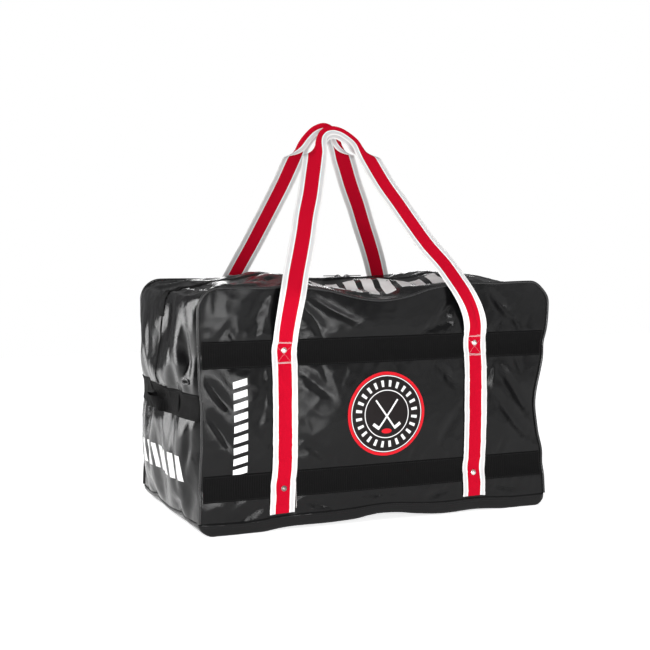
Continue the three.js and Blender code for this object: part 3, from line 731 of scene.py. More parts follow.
def lid_column(x):
    return ROWS + (x + HALF) / (2 * HALF) * COLUMNS


def right_column(z):
    return 2 * ROWS + COLUMNS - z / TALL * ROWS


def base_column(x):
    return 2 * ROWS + 2 * COLUMNS - (x + HALF) / (2 * HALF) * COLUMNS


def rim_way(columns):
    """The way out of the ring at fractional columns."""
    i = np.floor(columns).astype(int)
    t = (columns - i)[..., None]
    return rim_out[i % AROUND] * (1 - t) + rim_out[(i + 1) % AROUND] * t


def along_rim(column):
    """The way out of the ring at a column, for narrow folds that turn with the corner."""
    def way(a, y):
        return rim_way(np.broadcast_arrays(column(np.asarray(a, float)), y)[0] % AROUND)
    return way


def swapped(wrinkles):
    """A ring piece is read as (height or x, y), and its folds are drawn as (y, height)."""
    turned = Wrinkles([], 0, 0, None)
    turned.at = lambda a, b: wrinkles.at(b, a)
    return turned


def inside_ring(a, y):
    return ease(DEEP - np.abs(y), 0.001, 0.016)


front = Skin(panel_reader(front_grid), front_wrinkles, fixed(0, -1, 0), inside_panel)
rear = Skin(panel_reader(rear_grid), rear_wrinkles, fixed(0, 1, 0), inside_panel)
left = Skin(ring_reader(left_column), swapped(left_wrinkles), along_rim(left_column), inside_ring)
right = Skin(ring_reader(right_column), swapped(right_wrinkles), along_rim(right_column),
             inside_ring)
lid = Skin(ring_reader(lid_column), lid_wrinkles, along_rim(lid_column), inside_ring)
base = Skin(ring_reader(base_column), Wrinkles([], 2, 0.4 * MM, lambda a, b: 1), fixed(0, 0, -1),
            lambda a, b: 0 * a)
print("front middle", front.place(0.0, 0.2).round(4), "lid middle", lid.place(0.0, 0.0).round(4))

# %% [markdown]
# ## Closed sheets
# A sewn part is a thin closed sheet: an outer face, an inner face and a rim. `slab` makes one
# from two grids of points, and `patch` lays one on the skin at a height above it.


# %% Meshes from grids of points
def piece(name, points, faces, material, uv=None, corner=35):
    mesh = bpy.data.meshes.new(name)
    mesh.from_pydata(np.asarray(points).reshape(-1, 3).tolist(), [], [list(f) for f in faces])
    if uv is not None:
        layer = mesh.uv_layers.new(name="cloth")
        loops = np.empty(len(mesh.loops), int)
        mesh.loops.foreach_get("vertex_index", loops)
        layer.data.foreach_set("uv", np.asarray(uv).reshape(-1, 2)[loops].ravel())
    mesh.materials.append(material)
    mesh.polygons.foreach_set("use_smooth", [True] * len(mesh.polygons))
    mesh.set_sharp_from_angle(angle=math.radians(corner))
    thing = bpy.data.objects.new(name, mesh)
    bpy.context.scene.collection.objects.link(thing)
    return thing


def grid_faces(rows, columns, start=0):
    i = start + np.arange(rows * columns).reshape(rows, columns)
    return np.stack([i[:-1, :-1], i[1:, :-1], i[1:, 1:], i[:-1, 1:]], 2).reshape(-1, 4)


def sheet_faces(rows, columns):
    """Faces of an outer grid of points, of an inner grid, and of the rim between them."""
    count = rows * columns
    edge = round_the_rim(np.arange(count).reshape(rows, columns))
    after = np.roll(edge, -1)
    return np.concatenate([
        grid_faces(rows, columns), grid_faces(rows, columns, count)[:, ::-1],
        np.stack([edge, after, after + count, edge + count], 1)])


def slab(name, outer, inner, material, uv):
    """A closed sheet between two grids of points. uv holds metres across and along."""
    faces = sheet_faces(*outer.shape[:2])
    mid = np.cross(outer[1:, :-1] - outer[:-1, :-1], outer[:-1, 1:] - outer[:-1, :-1]).mean((0, 1))
    if mid @ (outer - inner).mean((0, 1)) < 0:
        faces = faces[:, ::-1]
    return piece(name, np.concatenate([outer, inner]), faces, material, np.concatenate([uv, uv]))


def spaced(low, high, step):
    return np.linspace(low, high, max(2, int(round((high - low) / step)) + 1))


def patch(name, skin, a, b, material, height=0.0, thick=WALL, turn=False, rolled=0.0):
    """A sheet on the skin over the grid of a and b, with its top face height above the skin."""
    a, b = np.meshgrid(a, b, indexing="ij")
    level = np.full(a.shape, height)
    if rolled:
        across = a if turn else b
        edge = np.minimum(across - across.min(), across.max() - across)
        level = level - rolled * (1 - np.clip(edge / (1.2 * MM), 0, 1)) ** 2
    outer = skin.place(a, b, level + 1e-9)
    inner = skin.place(a, b, np.full(a.shape, height - thick))
    return slab(name, outer, inner, material, np.stack([b, a] if turn else [a, b], 2))


def rooted(thing, slot, *nodes):
    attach(thing, "root")
    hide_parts(*nodes)
    return thing


# %% [markdown]
# ## Body panels
# The front and rear panels and the two ends are each one cut of PVC. The base wraps up round
# the sides to a seam a thumb's width above the floor, which keeps water out of the seam.

# %% Front, rear and end panels
STEP = 4.4 * MM
SEAM = LIP - 2 * MM
for name, skin in (("front", front), ("rear", rear)):
    sheet = patch(name + "_panel_cloth", skin, spaced(-HALF, HALF, STEP),
                  spaced(SEAM, TALL, STEP), pvc)
    rooted(sheet, "coated_pvc", name + "_panel")
    print(sheet.name, len(sheet.data.polygons), "faces")
for name, skin in (("left", left), ("right", right)):
    sheet = patch(name + "_end_cloth", skin, spaced(SEAM, TALL - CORNER, STEP),
                  spaced(-DEEP, DEEP, STEP), pvc, turn=True)
    rooted(sheet, "coated_pvc", name + "_end_panel")


# %% The base and its wrapped edge
def base_tray():
    """The bottom, with a low wall that follows all four sides up to the seam."""
    up = np.linspace(0, LIP, 6)
    x, y = spaced(-HALF, HALF, 8 * MM), spaced(-DEEP, DEEP, 8 * MM)
    raised = 0.9 * MM
    strips = [
        left.place(*np.meshgrid(up[::-1], y, indexing="ij"), raised),
        base.place(*np.meshgrid(x, y, indexing="ij"), 0.0),
        right.place(*np.meshgrid(up, y, indexing="ij"), raised),
    ]
    ring = np.concatenate([strips[0], strips[1][1:-1], strips[2]])
    sides = [front.place(*np.meshgrid(x, up, indexing="ij"), raised),
             rear.place(*np.meshgrid(x, up, indexing="ij"), raised)]
    points = np.concatenate([g.reshape(-1, 3) for g in (ring, *sides)])
    points[:, 2] = np.maximum(points[:, 2], 0.3 * MM)
    faces = [grid_faces(*ring.shape[:2])[:, ::-1]]
    start = ring[..., 0].size
    for g, flip in zip(sides, (False, True)):
        made = grid_faces(*g.shape[:2], start)
        faces.append(made[:, ::-1] if flip else made)
        start += g[..., 0].size
    uv = np.concatenate([points[: ring[..., 0].size, :2], points[ring[..., 0].size :, [0, 2]]])
    tray = piece("base_cloth", points, np.concatenate(faces), pvc, uv)
    made = bmesh.new()
    made.from_mesh(tray.data)
    bmesh.ops.remove_doubles(made, verts=made.verts, dist=1.6 * MM)
    bmesh.ops.recalc_face_normals(made, faces=made.faces)
    made.to_mesh(tray.data)
    made.free()
    wall = tray.modifiers.new("wall", "SOLIDIFY")
    wall.thickness, wall.offset = WALL, -1
    return tray


tray = rooted(base_tray(), "coated_pvc", "base_panel")
print("base", len(tray.data.polygons), "faces")

# %% [markdown]
# ## Piping
# A cord wrapped in vinyl is sewn into each seam where a side panel meets the ring. It keeps the
# box square. It is a tube swept along the simulated rim of the panel, so it follows every sag.


# %% Tubes along a path
def frames_along(path):
    """Unit tangents and two crosswise directions along a path, turned as little as possible."""
    t = np.gradient(path, axis=0)
    t /= np.linalg.norm(t, axis=1)[:, None]
    first = np.cross(t[0], (0.0, 0.0, 1.0) if abs(t[0][2]) < 0.9 else (0.0, 1.0, 0.0))
    sides = [first / np.linalg.norm(first)]
    for way in t[1:]:
        side = sides[-1] - way * (sides[-1] @ way)
        sides.append(side / np.linalg.norm(side))
    return t, np.array(sides), np.cross(t, sides)


def hermite(t, a, leaving, b, arriving):
    return ((2 * t**3 - 3 * t**2 + 1) * a + (t**3 - 2 * t**2 + t) * leaving
            + (3 * t**2 - 2 * t**3) * b + (t**3 - t**2) * arriving)


def lengths_along(path):
    return np.concatenate([[0], np.cumsum(np.linalg.norm(np.diff(path, axis=0), axis=1))])


def smooth_path(points, step):
    """A smooth curve through points, with points about step apart."""
    points = np.asarray(points, float)
    along = lengths_along(points)
    gap = np.diff(along)[:, None]
    slope = np.diff(points, axis=0) / gap
    aim = np.concatenate([slope[:1], (slope[:-1] * gap[1:] + slope[1:] * gap[:-1])
                          / (gap[:-1] + gap[1:]), slope[-1:]])
    at = np.linspace(0, along[-1], max(2, int(along[-1] / step)) + 1)
    i = np.clip(np.searchsorted(along, at) - 1, 0, len(gap) - 1)
    t = ((at - along[i]) / gap[i, 0])[:, None]
    return hermite(t, points[i], aim[i] * gap[i], points[i + 1], aim[i + 1] * gap[i])


def ring_faces(ids):
    """Quads between rows of point numbers, where each row closes on itself."""
    shut = np.concatenate([ids, ids[:, :1]], 1)
    return np.stack([shut[:-1, :-1], shut[:-1, 1:], shut[1:, 1:], shut[1:, :-1]], 2).reshape(-1, 4)


def tube_data(path, radius, around=10):
    _, side, up = frames_along(path)
    turn = np.linspace(0, 2 * math.pi, around, endpoint=False)
    ring = side[:, None] * np.cos(turn)[:, None] + up[:, None] * np.sin(turn)[:, None]
    points = path[:, None] + ring * radius
    ids = np.arange(len(path) * around).reshape(len(path), around)
    faces = [list(f) for f in ring_faces(ids)[:, ::-1]] + [list(ids[0]), list(ids[-1][::-1])]
    uv = np.stack(np.broadcast_arrays(turn[None] * radius, lengths_along(path)[:, None]), 2)
    return points.reshape(-1, 3), faces, uv.reshape(-1, 2)


def tube(name, path, radius, material, around=10):
    points, faces, uv = tube_data(path, radius, around)
    return piece(name, points, faces, material, uv, corner=60)


def rim_path(row, side, off, low=LIP, step=0.3):
    """The seam between a panel and the ring, moved diagonally out by off."""
    columns = np.arange(low / TALL * ROWS, 2 * ROWS + COLUMNS - low / TALL * ROWS, step)
    seam = read_grid(ring_grid, columns, np.full(len(columns), row), True)
    return seam + (rim_way(columns) + np.array([0, side, 0])) * off


# %% Front and rear piping
for name, row, side in (("front_piping", 0.0, -1), ("rear_piping", float(DEEP_ROWS), 1)):
    cord_path = rim_path(row, side, 1.1 * MM)
    welt = tube(name + "_vinyl", cord_path, 2.5 * MM, piping_vinyl, 12)
    rooted(welt, "piping_vinyl", name)
    print(welt.name, "runs", round(float(lengths_along(cord_path)[-1]), 3), "m")

# %% [markdown]
# ## Webbing on the skin
# The webbing lies on the cloth, so a ribbon is laid out on the flat pattern piece and read back
# from the skin. Its long edges are rolled down a little, as a woven edge is.

# %% Ribbons
ACROSS = np.array([-25, -24.7, -24.1, -23, -20, -16, -12, -8, -4, 0,
                   4, 8, 12, 16, 20, 23, 24.1, 24.7, 25]) * MM
EDGE_ROLL = 0.7 * MM * (1 - np.clip((25 * MM - np.abs(ACROSS)) / (1.3 * MM), 0, 1)) ** 2


def across_path(path):
    way = np.gradient(path, axis=0)
    way /= np.linalg.norm(way, axis=1)[:, None]
    return np.stack([-way[:, 1], way[:, 0]], 1)


def laid(skin, path, height, thick=WEB_THICK):
    """Outer and inner points of webbing laid on a skin along a path on its pattern."""
    side = across_path(path)
    spots = path[:, None] + side[:, None] * ACROSS[:, None]
    level = np.broadcast_to(np.reshape(height, (-1, 1)), spots.shape[:2])
    outer = skin.place(spots[..., 0], spots[..., 1], level - EDGE_ROLL)
    inner = skin.place(spots[..., 0], spots[..., 1], level - thick + EDGE_ROLL * 0.3)
    return outer, inner


def metres(path, start=0.0):
    """A ribbon's UV map: metres across it, and metres along its path."""
    along = start + lengths_along(path)
    return np.stack(np.broadcast_arrays(ACROSS[None], along[:, None]), 2)


def straight(a0, b0, a1, b1, step=4 * MM):
    count = max(2, int(math.hypot(a1 - a0, b1 - b0) / step)) + 1
    return np.stack([np.linspace(a0, a1, count), np.linspace(b0, b1, count)], 1)


# %% The black bands
BAND_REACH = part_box("front_upper_band")[1].x
for name, skin in (("front", front), ("rear", rear)):
    for level, height in (("upper", UPPER), ("lower", LOWER)):
        path = straight(-BAND_REACH, height, BAND_REACH, height)
        outer, inner = laid(skin, path, 1.7 * MM)
        band = slab(f"{name}_{level}_band_webbing", outer, inner, black_webbing, metres(path))
        rooted(band, "black_webbing", f"{name}_{level}_band")
END_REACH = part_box("left_end_band")[1].y
for name, skin in (("left", left), ("right", right)):
    path = straight(END_BAND, -END_REACH, END_BAND, END_REACH)
    outer, inner = laid(skin, path, 1.7 * MM)
    band = slab(f"{name}_end_band_webbing", outer, inner, black_webbing, metres(path))
    rooted(band, "black_webbing", f"{name}_end_band")
print("bands reach", BAND_REACH, END_REACH)

# %% [markdown]
# ## Carry straps and folded grips
# Each strap is one run of striped webbing. It is sewn up the panel as far as the stitched box,
# hangs free past the top seam, and leans in over the lid. In the grip the webbing is folded in
# half along its length, with the fold on top: the outer half turns behind the inner half. The
# cross-section here is bent by an angle that grows from 0 to a full fold.

# %% The strap's centre line up the handle
HANDLE_APEX_Y, HANDLE_REACH = 14 * MM, 372 * MM
LEAN = math.asin((HINGE_Y - HANDLE_APEX_Y) / HANDLE_REACH)
# The centre line in millimetres: along the bag, and up the handle's plane from the hinge.
HANDLE_PATHS = {
    "front": [(-185, 0), (-177, 24), (-161, 67), (-145, 111), (-130, 156), (-112, 202),
              (-96, 249), (-84, 284), (-77, 306), (-71, 330), (-61, 350), (-46, 363), (-28, 367),
              (-10, 363), (7, 351), (24, 331), (34, 306), (42, 276), (56, 228), (75, 181),
              (94, 134), (115, 88), (143, 42), (162, 0)],
    "rear": [(-167, 0), (-156, 34), (-139, 85), (-124, 135), (-110, 184), (-97, 232), (-88, 273),
             (-82, 303), (-78, 328), (-68, 350), (-53, 368), (-35, 375), (-20, 371), (-6, 358),
             (6, 341), (16, 322), (24, 303), (35, 282), (60, 234), (88, 185), (114, 135),
             (142, 83), (168, 30), (181, 0)],
}
FOLDED = math.radians(166)
FINE = np.linspace(-25 * MM, 25 * MM, 201)
FOLDS = {"front": (0.290, 0.350, 2.5 * MM), "rear": (0.296, 0.350, -4.5 * MM)}


def handle_rows(name, sign):
    """Stations up the handle's plane: centre, across and out directions, and height."""
    path = smooth_path(np.array(HANDLE_PATHS[name]) * MM, 4 * MM)
    x, s = path.T
    bow = 4 * MM * np.sin(np.pi * np.clip(s / 0.3, 0, 1)) * (1 if name == "front" else 0.6)
    up = np.array([0, sign * math.sin(LEAN), math.cos(LEAN)])
    out = np.array([0, -sign * math.cos(LEAN), math.sin(LEAN)])
    corner = np.array([0, -sign * HINGE_Y, HINGE_Z])
    centre = corner + x[:, None] * np.array([1, 0, 0]) + s[:, None] * up + bow[:, None] * out
    way = np.gradient(centre, axis=0)
    way /= np.linalg.norm(way, axis=1)[:, None]
    side = np.cross(way, out)
    side /= np.linalg.norm(side, axis=1)[:, None]
    out = np.cross(side, way)
    return centre, side, out, s


def folded_section(centre, fold, side, out, sign, crease=0.0, thick=WEB_THICK):
    """Bends each section: the half on the outside of the arch turns back behind the other."""
    bend = -sign * (1 - ease(sign * FINE, crease - 2.2 * MM, crease + 2.2 * MM))
    outer, inner = [], []
    for c, angle, s, n in zip(centre, fold, side, out):
        turn = angle * bend
        way = s * np.cos(turn)[:, None] - n * np.sin(turn)[:, None]
        normal = n * np.cos(turn)[:, None] + s * np.sin(turn)[:, None]
        run = np.cumsum(way, axis=0) * (FINE[1] - FINE[0])
        run = run - run[100] + c
        at = np.stack([np.interp(ACROSS, FINE, run[:, k]) for k in range(3)], 1)
        face = np.stack([np.interp(ACROSS, FINE, normal[:, k]) for k in range(3)], 1)
        outer.append(at + face * (thick / 2 - EDGE_ROLL)[:, None])
        inner.append(at - face * (thick / 2 - EDGE_ROLL * 0.4)[:, None])
    return np.array(outer), np.array(inner)


def bridge(first, last, count=9):
    """Rows that carry on smoothly from one grid's last rows to the next grid's first rows."""
    a, b = first[-1], last[0]
    reach = np.linalg.norm(b - a, axis=1)[:, None]
    va = first[-1] - first[-3]
    vb = last[2] - last[0]
    va = va / np.linalg.norm(va, axis=1)[:, None] * reach
    vb = vb / np.linalg.norm(vb, axis=1)[:, None] * reach
    return np.array([hermite(t, a, va, b, vb) for t in np.linspace(0, 1, count + 2)[1:-1]])


# %% Strap legs, straps and grips
FOOT, SEWN_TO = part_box("front_left_strap_leg")[0].z, UPPER + 0.028
STRAP_SPLIT, BEND_LONG = 0.302, 0.028


def leg_line(x_side, splay):
    """The sewn part of a leg on the pattern: straight, with its foot a little splayed."""
    z = spaced(FOOT, SEWN_TO, 4 * MM)
    x = LEG_X - 1.5 * MM * ease(z, UPPER, SEWN_TO) + splay * (1 - ease(z, FOOT, LOWER + 0.04))
    return np.stack([x_side * x, z], 1)


def strap_runs(name, sign, skin):
    """The whole strap on one side panel: for each half the leg and the strap, then the grip."""
    centre, side, out, s = handle_rows(name, sign)
    low, high, crease = FOLDS[name]
    fold = FOLDED * ease(s[:, None] - 0.5 * sign * FINE, low, high)
    faces = folded_section(centre, fold, side, out, sign, crease)
    first, last = np.flatnonzero(s > STRAP_SPLIT)[[0, -1]]
    runs = {}
    for half, x_side, hand in (("left", -1, slice(0, first + 1)), ("right", 1, slice(last, None))):
        path = leg_line(x_side, 5 * MM if (half, name) == ("left", "front") else 1.5 * MM)
        lift = 3.3 * MM + 1.5 * MM * ease(path[:, 1], UPPER + 0.015, SEWN_TO)
        legs = laid(skin, path, lift)
        parts = []
        for leg, face in zip(legs, faces):
            strap = face[hand] if half == "left" else face[hand][::-1]
            if np.ptp(np.sign([leg[-1, 0, 0] - leg[-1, -1, 0], strap[0, 0, 0] - strap[0, -1, 0]])):
                strap = strap[:, ::-1]
            parts.append((np.concatenate([leg, bridge(leg, strap[:4], 20), strap[:1]]), strap))
        runs[half] = parts
    grip = slice(first, last + 1)
    return runs, [face[grip] for face in faces], centre[grip]


for name, sign, skin in (("front", 1, front), ("rear", -1, rear)):
    runs, grip_faces, grip_line = strap_runs(name, sign, skin)
    body = name + "_handle"
    hinge = np.array([0, -sign * HINGE_Y, HINGE_Z])
    above = hinge + BEND_LONG * np.array([0, sign * math.sin(LEAN), math.cos(LEAN)])
    for half in ("left", "right"):
        (leg_out, strap_out), (leg_in, strap_in) = runs[half]
        leg_mid, strap_mid = (grid[:, len(ACROSS) // 2] for grid in (leg_out, strap_out))
        leg = slab(f"{name}_{half}_leg_webbing", leg_out, leg_in, striped_webbing,
                   metres(leg_mid))
        rooted(leg, "striped_webbing", f"{name}_{half}_strap_leg")
        long = float(lengths_along(leg_mid)[-1])
        strap = slab(f"{body}_{half}_strap_webbing", strap_out, strap_in, striped_webbing,
                     metres(strap_mid, long))
        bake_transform(strap)
        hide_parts(f"{body}_{half}_strap")
        print(leg.name, round(long, 3), "m, strap", round(float(lengths_along(strap_mid)[-1]), 3))
    grip = slab(f"{body}_grip_webbing", *grip_faces, striped_webbing,
                metres(grip_line))
    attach(grip, body)
    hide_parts(f"{body}_grip")

# %% [markdown]
# ## Lid, yokes and zip
# The top opens along its length. Each half of the lid hinges at its piping, and its two ends
# stay sewn to the yokes, so on the real bag those ends bend when the lid opens. Each half is made
# in three lengths: the middle rides on its lid body, and the outer two stay fixed in place.


# %% One length of a lid half at a time
SPANS = (("left", -LID_HALF, -0.18), ("middle", -0.18, 0.18), ("right", 0.18, LID_HALF))


def hung_on_lid(thing, side, span):
    """Rides the middle length on its lid body, and leaves the outer two fixed in place."""
    body = side + "_lid"
    if span == "middle":
        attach(thing, body)
    else:
        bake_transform(thing)
    return thing


SLOT = 14 * MM
for side, way in (("front", -1), ("rear", 1)):
    for span, low, high in SPANS:
        cloth = patch(f"{side}_lid_{span}_cloth", lid, spaced(low, high, STEP),
                      way * spaced(SLOT, DEEP, 5 * MM), pvc)
        tape = patch(f"{side}_zip_tape_{span}", lid, spaced(low, high, 6 * MM),
                     way * spaced(1.3 * MM, SLOT + 8 * MM, 4 * MM), zip_tape,
                     height=-1.5 * MM, thick=0.7 * MM, turn=True)
        for thing, slot in ((cloth, "coated_pvc"), (tape, "zip_tape")):
            hung_on_lid(thing, side, span)
        if span == "middle":
            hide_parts(side + "_lid_flap")
            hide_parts(side + "_zip_tape")
print("lid halves in", 2 * len(SPANS), "lengths")

# %% [markdown]
# The yokes close the two ends of the top. They are one skin with the ring's rounded corner, so
# they are read by ring column. A matte wedge of webbing covers the end of the zip and runs over
# the corner to a lapped seam down the middle of each end panel.


# %% Yokes and zip ends
def plain_column(column):
    return column


COLUMN_LONG, COLUMN_REACH = 9.5 * MM, 0.3
LAP_LOW, LAP_TOP = END_BAND + 27 * MM, TALL - CORNER - 18 * MM
corner = Skin(ring_reader(plain_column), swapped(Wrinkles([], 40, 0.8 * MM, lambda a, b: 1.0)),
              along_rim(plain_column), inside_ring)
YOKES = {"left": (left_column(TALL - CORNER), lid_column(-LID_HALF)),
         "right": (lid_column(LID_HALF), right_column(TALL - CORNER))}
for name, (low, high) in YOKES.items():
    a, b = np.meshgrid(np.arange(low, high + 0.2, 0.42), spaced(-DEEP, DEEP, STEP), indexing="ij")
    a = np.minimum(a, high)
    outer, inner = (corner.raw(a, b) + corner.out(a, b, COLUMN_REACH) * h for h in (0.0, -WALL))
    uv = np.stack([b, a * COLUMN_LONG], 2)
    rooted(slab(name + "_yoke_cloth", outer, inner, pvc, uv), "coated_pvc", name + "_top_yoke")
    drop = 2.2 * (1 if name == "right" else -1)
    ends = (low + min(drop, 0), high + max(drop, 0))
    t = np.linspace(0, 1, 34)
    wide = (13 + 5 * bell(t, 0.5, 0.3)) * MM
    a = np.repeat((ends[0] + (ends[1] - ends[0]) * t)[:, None], 13, 1)
    b = wide[:, None] * np.linspace(-1, 1, 13)
    roll = 0.9 * MM * (np.abs(np.linspace(-1, 1, 13)) > 0.99)
    faces = [corner.raw(a, b) + corner.out(a, b, COLUMN_REACH) * h[..., None]
             for h in (1.5 * MM - roll + 0 * a, 0.2 * MM + 0 * a)]
    wedge = slab(name + "_zip_wedge", *faces, black_webbing, np.stack([b, a * COLUMN_LONG], 2))
    rooted(wedge, "zip_tape", name + "_zip_end")
for name, skin in (("left", left), ("right", right)):
    lap = patch(name + "_lapped_seam", skin, spaced(LAP_LOW, LAP_TOP, STEP),
                np.array([-6, -5.4, -3, 0, 3, 5.4, 6]) * MM, pvc, height=1.6 * MM, turn=True,
                rolled=0.8 * MM)
    rooted(lap, "coated_pvc")
print("yoke columns", {k: [round(c, 1) for c in v] for k, v in YOKES.items()})

# %% [markdown]
# ## Grab handles
# On each end a short strap is sewn over the band with a crossed box at each end, and its middle
# is folded to half its width for the hand. Each handle is made in two halves, each running from
# its own sewn anchor to the middle of the handle.


# %% Grab handles in two halves
ANCHOR_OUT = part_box("left_front_anchor")[0].y
GRAB_STAND = 23 * MM


def grab_half(skin, way):
    """Stations from the outer end of an anchor to the middle of the handle."""
    y = np.concatenate([np.linspace(ANCHOR_OUT, -60 * MM, 12), np.linspace(-57 * MM, 0, 24)])
    free = ease(y, -58 * MM, -14 * MM)
    stand = 3.4 * MM + GRAB_STAND * free
    rise = 11 * MM * ease(y, -50 * MM, -18 * MM)
    centre = skin.place(END_BAND + rise, -way * y, stand)
    up = skin.place(END_BAND + rise + 5 * MM, -way * y, stand) - centre
    along = np.gradient(centre, axis=0)
    along /= np.linalg.norm(along, axis=1)[:, None]
    out = np.cross(along, up)
    out /= np.linalg.norm(out, axis=1)[:, None]
    facing = np.sign(out[0] @ skin.out(np.array(END_BAND), np.array(-way * ANCHOR_OUT)))
    out *= facing
    side = np.cross(out, along) * facing
    fold = math.radians(168) * ease(y, -54 * MM, -26 * MM)
    keep = 1 if side[0, 2] < 0 else -1
    return centre, fold, side, out, keep


for end, skin in (("left", left), ("right", right)):
    for half, way in (("front", 1), ("rear", -1)):
        centre, fold, side, out, keep = grab_half(skin, way)
        outer, inner = folded_section(centre, fold, side, out, keep)
        strap = slab(f"{end}_grab_{half}_half", outer, inner, black_webbing, metres(centre))
        end + "_grab"
        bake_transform(strap)
        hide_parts(f"{end}_{half}_anchor", *([f"{end}_grab_handle"] * (way == 1)))
print("grab handle stands", GRAB_STAND, "m off the band")

# %% [markdown]
# ## Thread, rivets and zip teeth with Geometry Nodes
# Stitches, rivets and zip teeth are one small shape repeated along a line or at marked spots.
# Each node tree below puts a shape on every spot, turns it to the line or to the given way, and
# realizes the copies, so that the result can be exported as a plain mesh.


# %% A small builder for geometry node trees
class Tree:
    def __init__(self, name, inputs):
        self.tree = bpy.data.node_groups.new(name, "GeometryNodeTree")
        face = self.tree.interface
        face.new_socket("Geometry", in_out="INPUT", socket_type="NodeSocketGeometry")
        face.new_socket("Geometry", in_out="OUTPUT", socket_type="NodeSocketGeometry")
        self.names = {}
        for label, kind in inputs:
            self.names[label] = face.new_socket(label, in_out="INPUT", socket_type=kind).identifier
        self.given = self.tree.nodes.new("NodeGroupInput")
        self.result = self.tree.nodes.new("NodeGroupOutput")

    def add(self, kind, settings=None, **links):
        node = self.tree.nodes.new(kind)
        for key, value in (settings or {}).items():
            setattr(node, key, value)
        for key, value in links.items():
            socket = node.inputs[key.replace("_", " ")]
            if isinstance(value, bpy.types.NodeSocket):
                self.tree.links.new(value, socket)
            else:
                socket.default_value = value
        return node

    def realized(self, geometry):
        """Ends the tree: plain mesh, smooth shading, then the material."""
        real = self.add("GeometryNodeRealizeInstances", Geometry=geometry)
        smooth = self.add("GeometryNodeSetShadeSmooth", Geometry=real.outputs[0])
        last = self.add("GeometryNodeSetMaterial", Geometry=smooth.outputs[0],
                        Material=self.given.outputs["Material"])
        self.tree.links.new(last.outputs[0], self.result.inputs[0])

    def run(self, name, points, edges, aims=None, **values):
        """Runs the tree on a plain mesh of points and edges, and returns the finished mesh."""
        mesh = bpy.data.meshes.new(name + "_line")
        mesh.from_pydata(np.asarray(points).tolist(), edges, [])
        if aims is not None:
            mesh.attributes.new("aim", "FLOAT_VECTOR", "POINT").data.foreach_set(
                "vector", np.asarray(aims, float).ravel())
        guide = bpy.data.objects.new(name + "_line", mesh)
        bpy.context.scene.collection.objects.link(guide)
        modifier = guide.modifiers.new("copies", "NODES")
        modifier.node_group = self.tree
        for label, value in values.items():
            modifier[self.names[label.replace("_", " ")]] = value
        view = bpy.context.evaluated_depsgraph_get()
        made = bpy.data.meshes.new_from_object(guide.evaluated_get(view), depsgraph=view)
        guide.modifiers.remove(modifier)
        bpy.data.objects.remove(guide)
        made.name = name
        thing = bpy.data.objects.new(name, made)
        bpy.context.scene.collection.objects.link(thing)
        return thing


def stitch_tree():
    """Thread: round-ended pins laid along each line at an even pitch."""
    t = Tree("stitches", [("Pitch", "NodeSocketFloat"), ("Length", "NodeSocketFloat"),
                          ("Radius", "NodeSocketFloat"), ("Material", "NodeSocketMaterial")])
    line = t.add("GeometryNodeMeshToCurve", Mesh=t.given.outputs["Geometry"])
    even = t.add("GeometryNodeResampleCurve", {"mode": "LENGTH"}, Curve=line.outputs[0],
                 Length=t.given.outputs["Pitch"])
    pin = t.add("GeometryNodeMeshUVSphere", Segments=6, Rings=4, Radius=1.0)
    size = t.add("ShaderNodeCombineXYZ", X=t.given.outputs["Radius"],
                 Y=t.given.outputs["Radius"], Z=t.given.outputs["Length"])
    way = t.add("GeometryNodeInputTangent")
    turn = t.add("FunctionNodeAlignRotationToVector", {"axis": "Z"}, Vector=way.outputs[0])
    copies = t.add("GeometryNodeInstanceOnPoints", Points=even.outputs[0],
                   Instance=pin.outputs[0], Rotation=turn.outputs[0], Scale=size.outputs[0])
    t.realized(copies.outputs[0])
    return t


def rivet_tree():
    """A domed cap on a flat washer, facing each point's aim."""
    t = Tree("rivets", [("Cap", "NodeSocketFloat"), ("Washer", "NodeSocketFloat"),
                        ("Material", "NodeSocketMaterial")])
    cap = t.add("GeometryNodeMeshUVSphere", Segments=24, Rings=12, Radius=1.0)
    cap_size = t.add("ShaderNodeCombineXYZ", X=t.given.outputs["Cap"],
                     Y=t.given.outputs["Cap"], Z=2.1 * MM)
    dome = t.add("GeometryNodeTransform", Geometry=cap.outputs[0], Scale=cap_size.outputs[0],
                 Translation=(0, 0, 0.9 * MM))
    rim = t.add("GeometryNodeMeshUVSphere", Segments=28, Rings=8, Radius=1.0)
    rim_size = t.add("ShaderNodeCombineXYZ", X=t.given.outputs["Washer"],
                     Y=t.given.outputs["Washer"], Z=0.9 * MM)
    washer = t.add("GeometryNodeTransform", Geometry=rim.outputs[0], Scale=rim_size.outputs[0])
    both = t.add("GeometryNodeJoinGeometry")
    for part in (washer, dome):
        t.tree.links.new(part.outputs[0], both.inputs[0])
    aim = t.add("GeometryNodeInputNamedAttribute", {"data_type": "FLOAT_VECTOR"}, Name="aim")
    turn = t.add("FunctionNodeAlignRotationToVector", {"axis": "Z"}, Vector=aim.outputs[0])
    copies = t.add("GeometryNodeInstanceOnPoints", Points=t.given.outputs["Geometry"],
                   Instance=both.outputs[0], Rotation=turn.outputs[0])
    t.realized(copies.outputs[0])
    return t


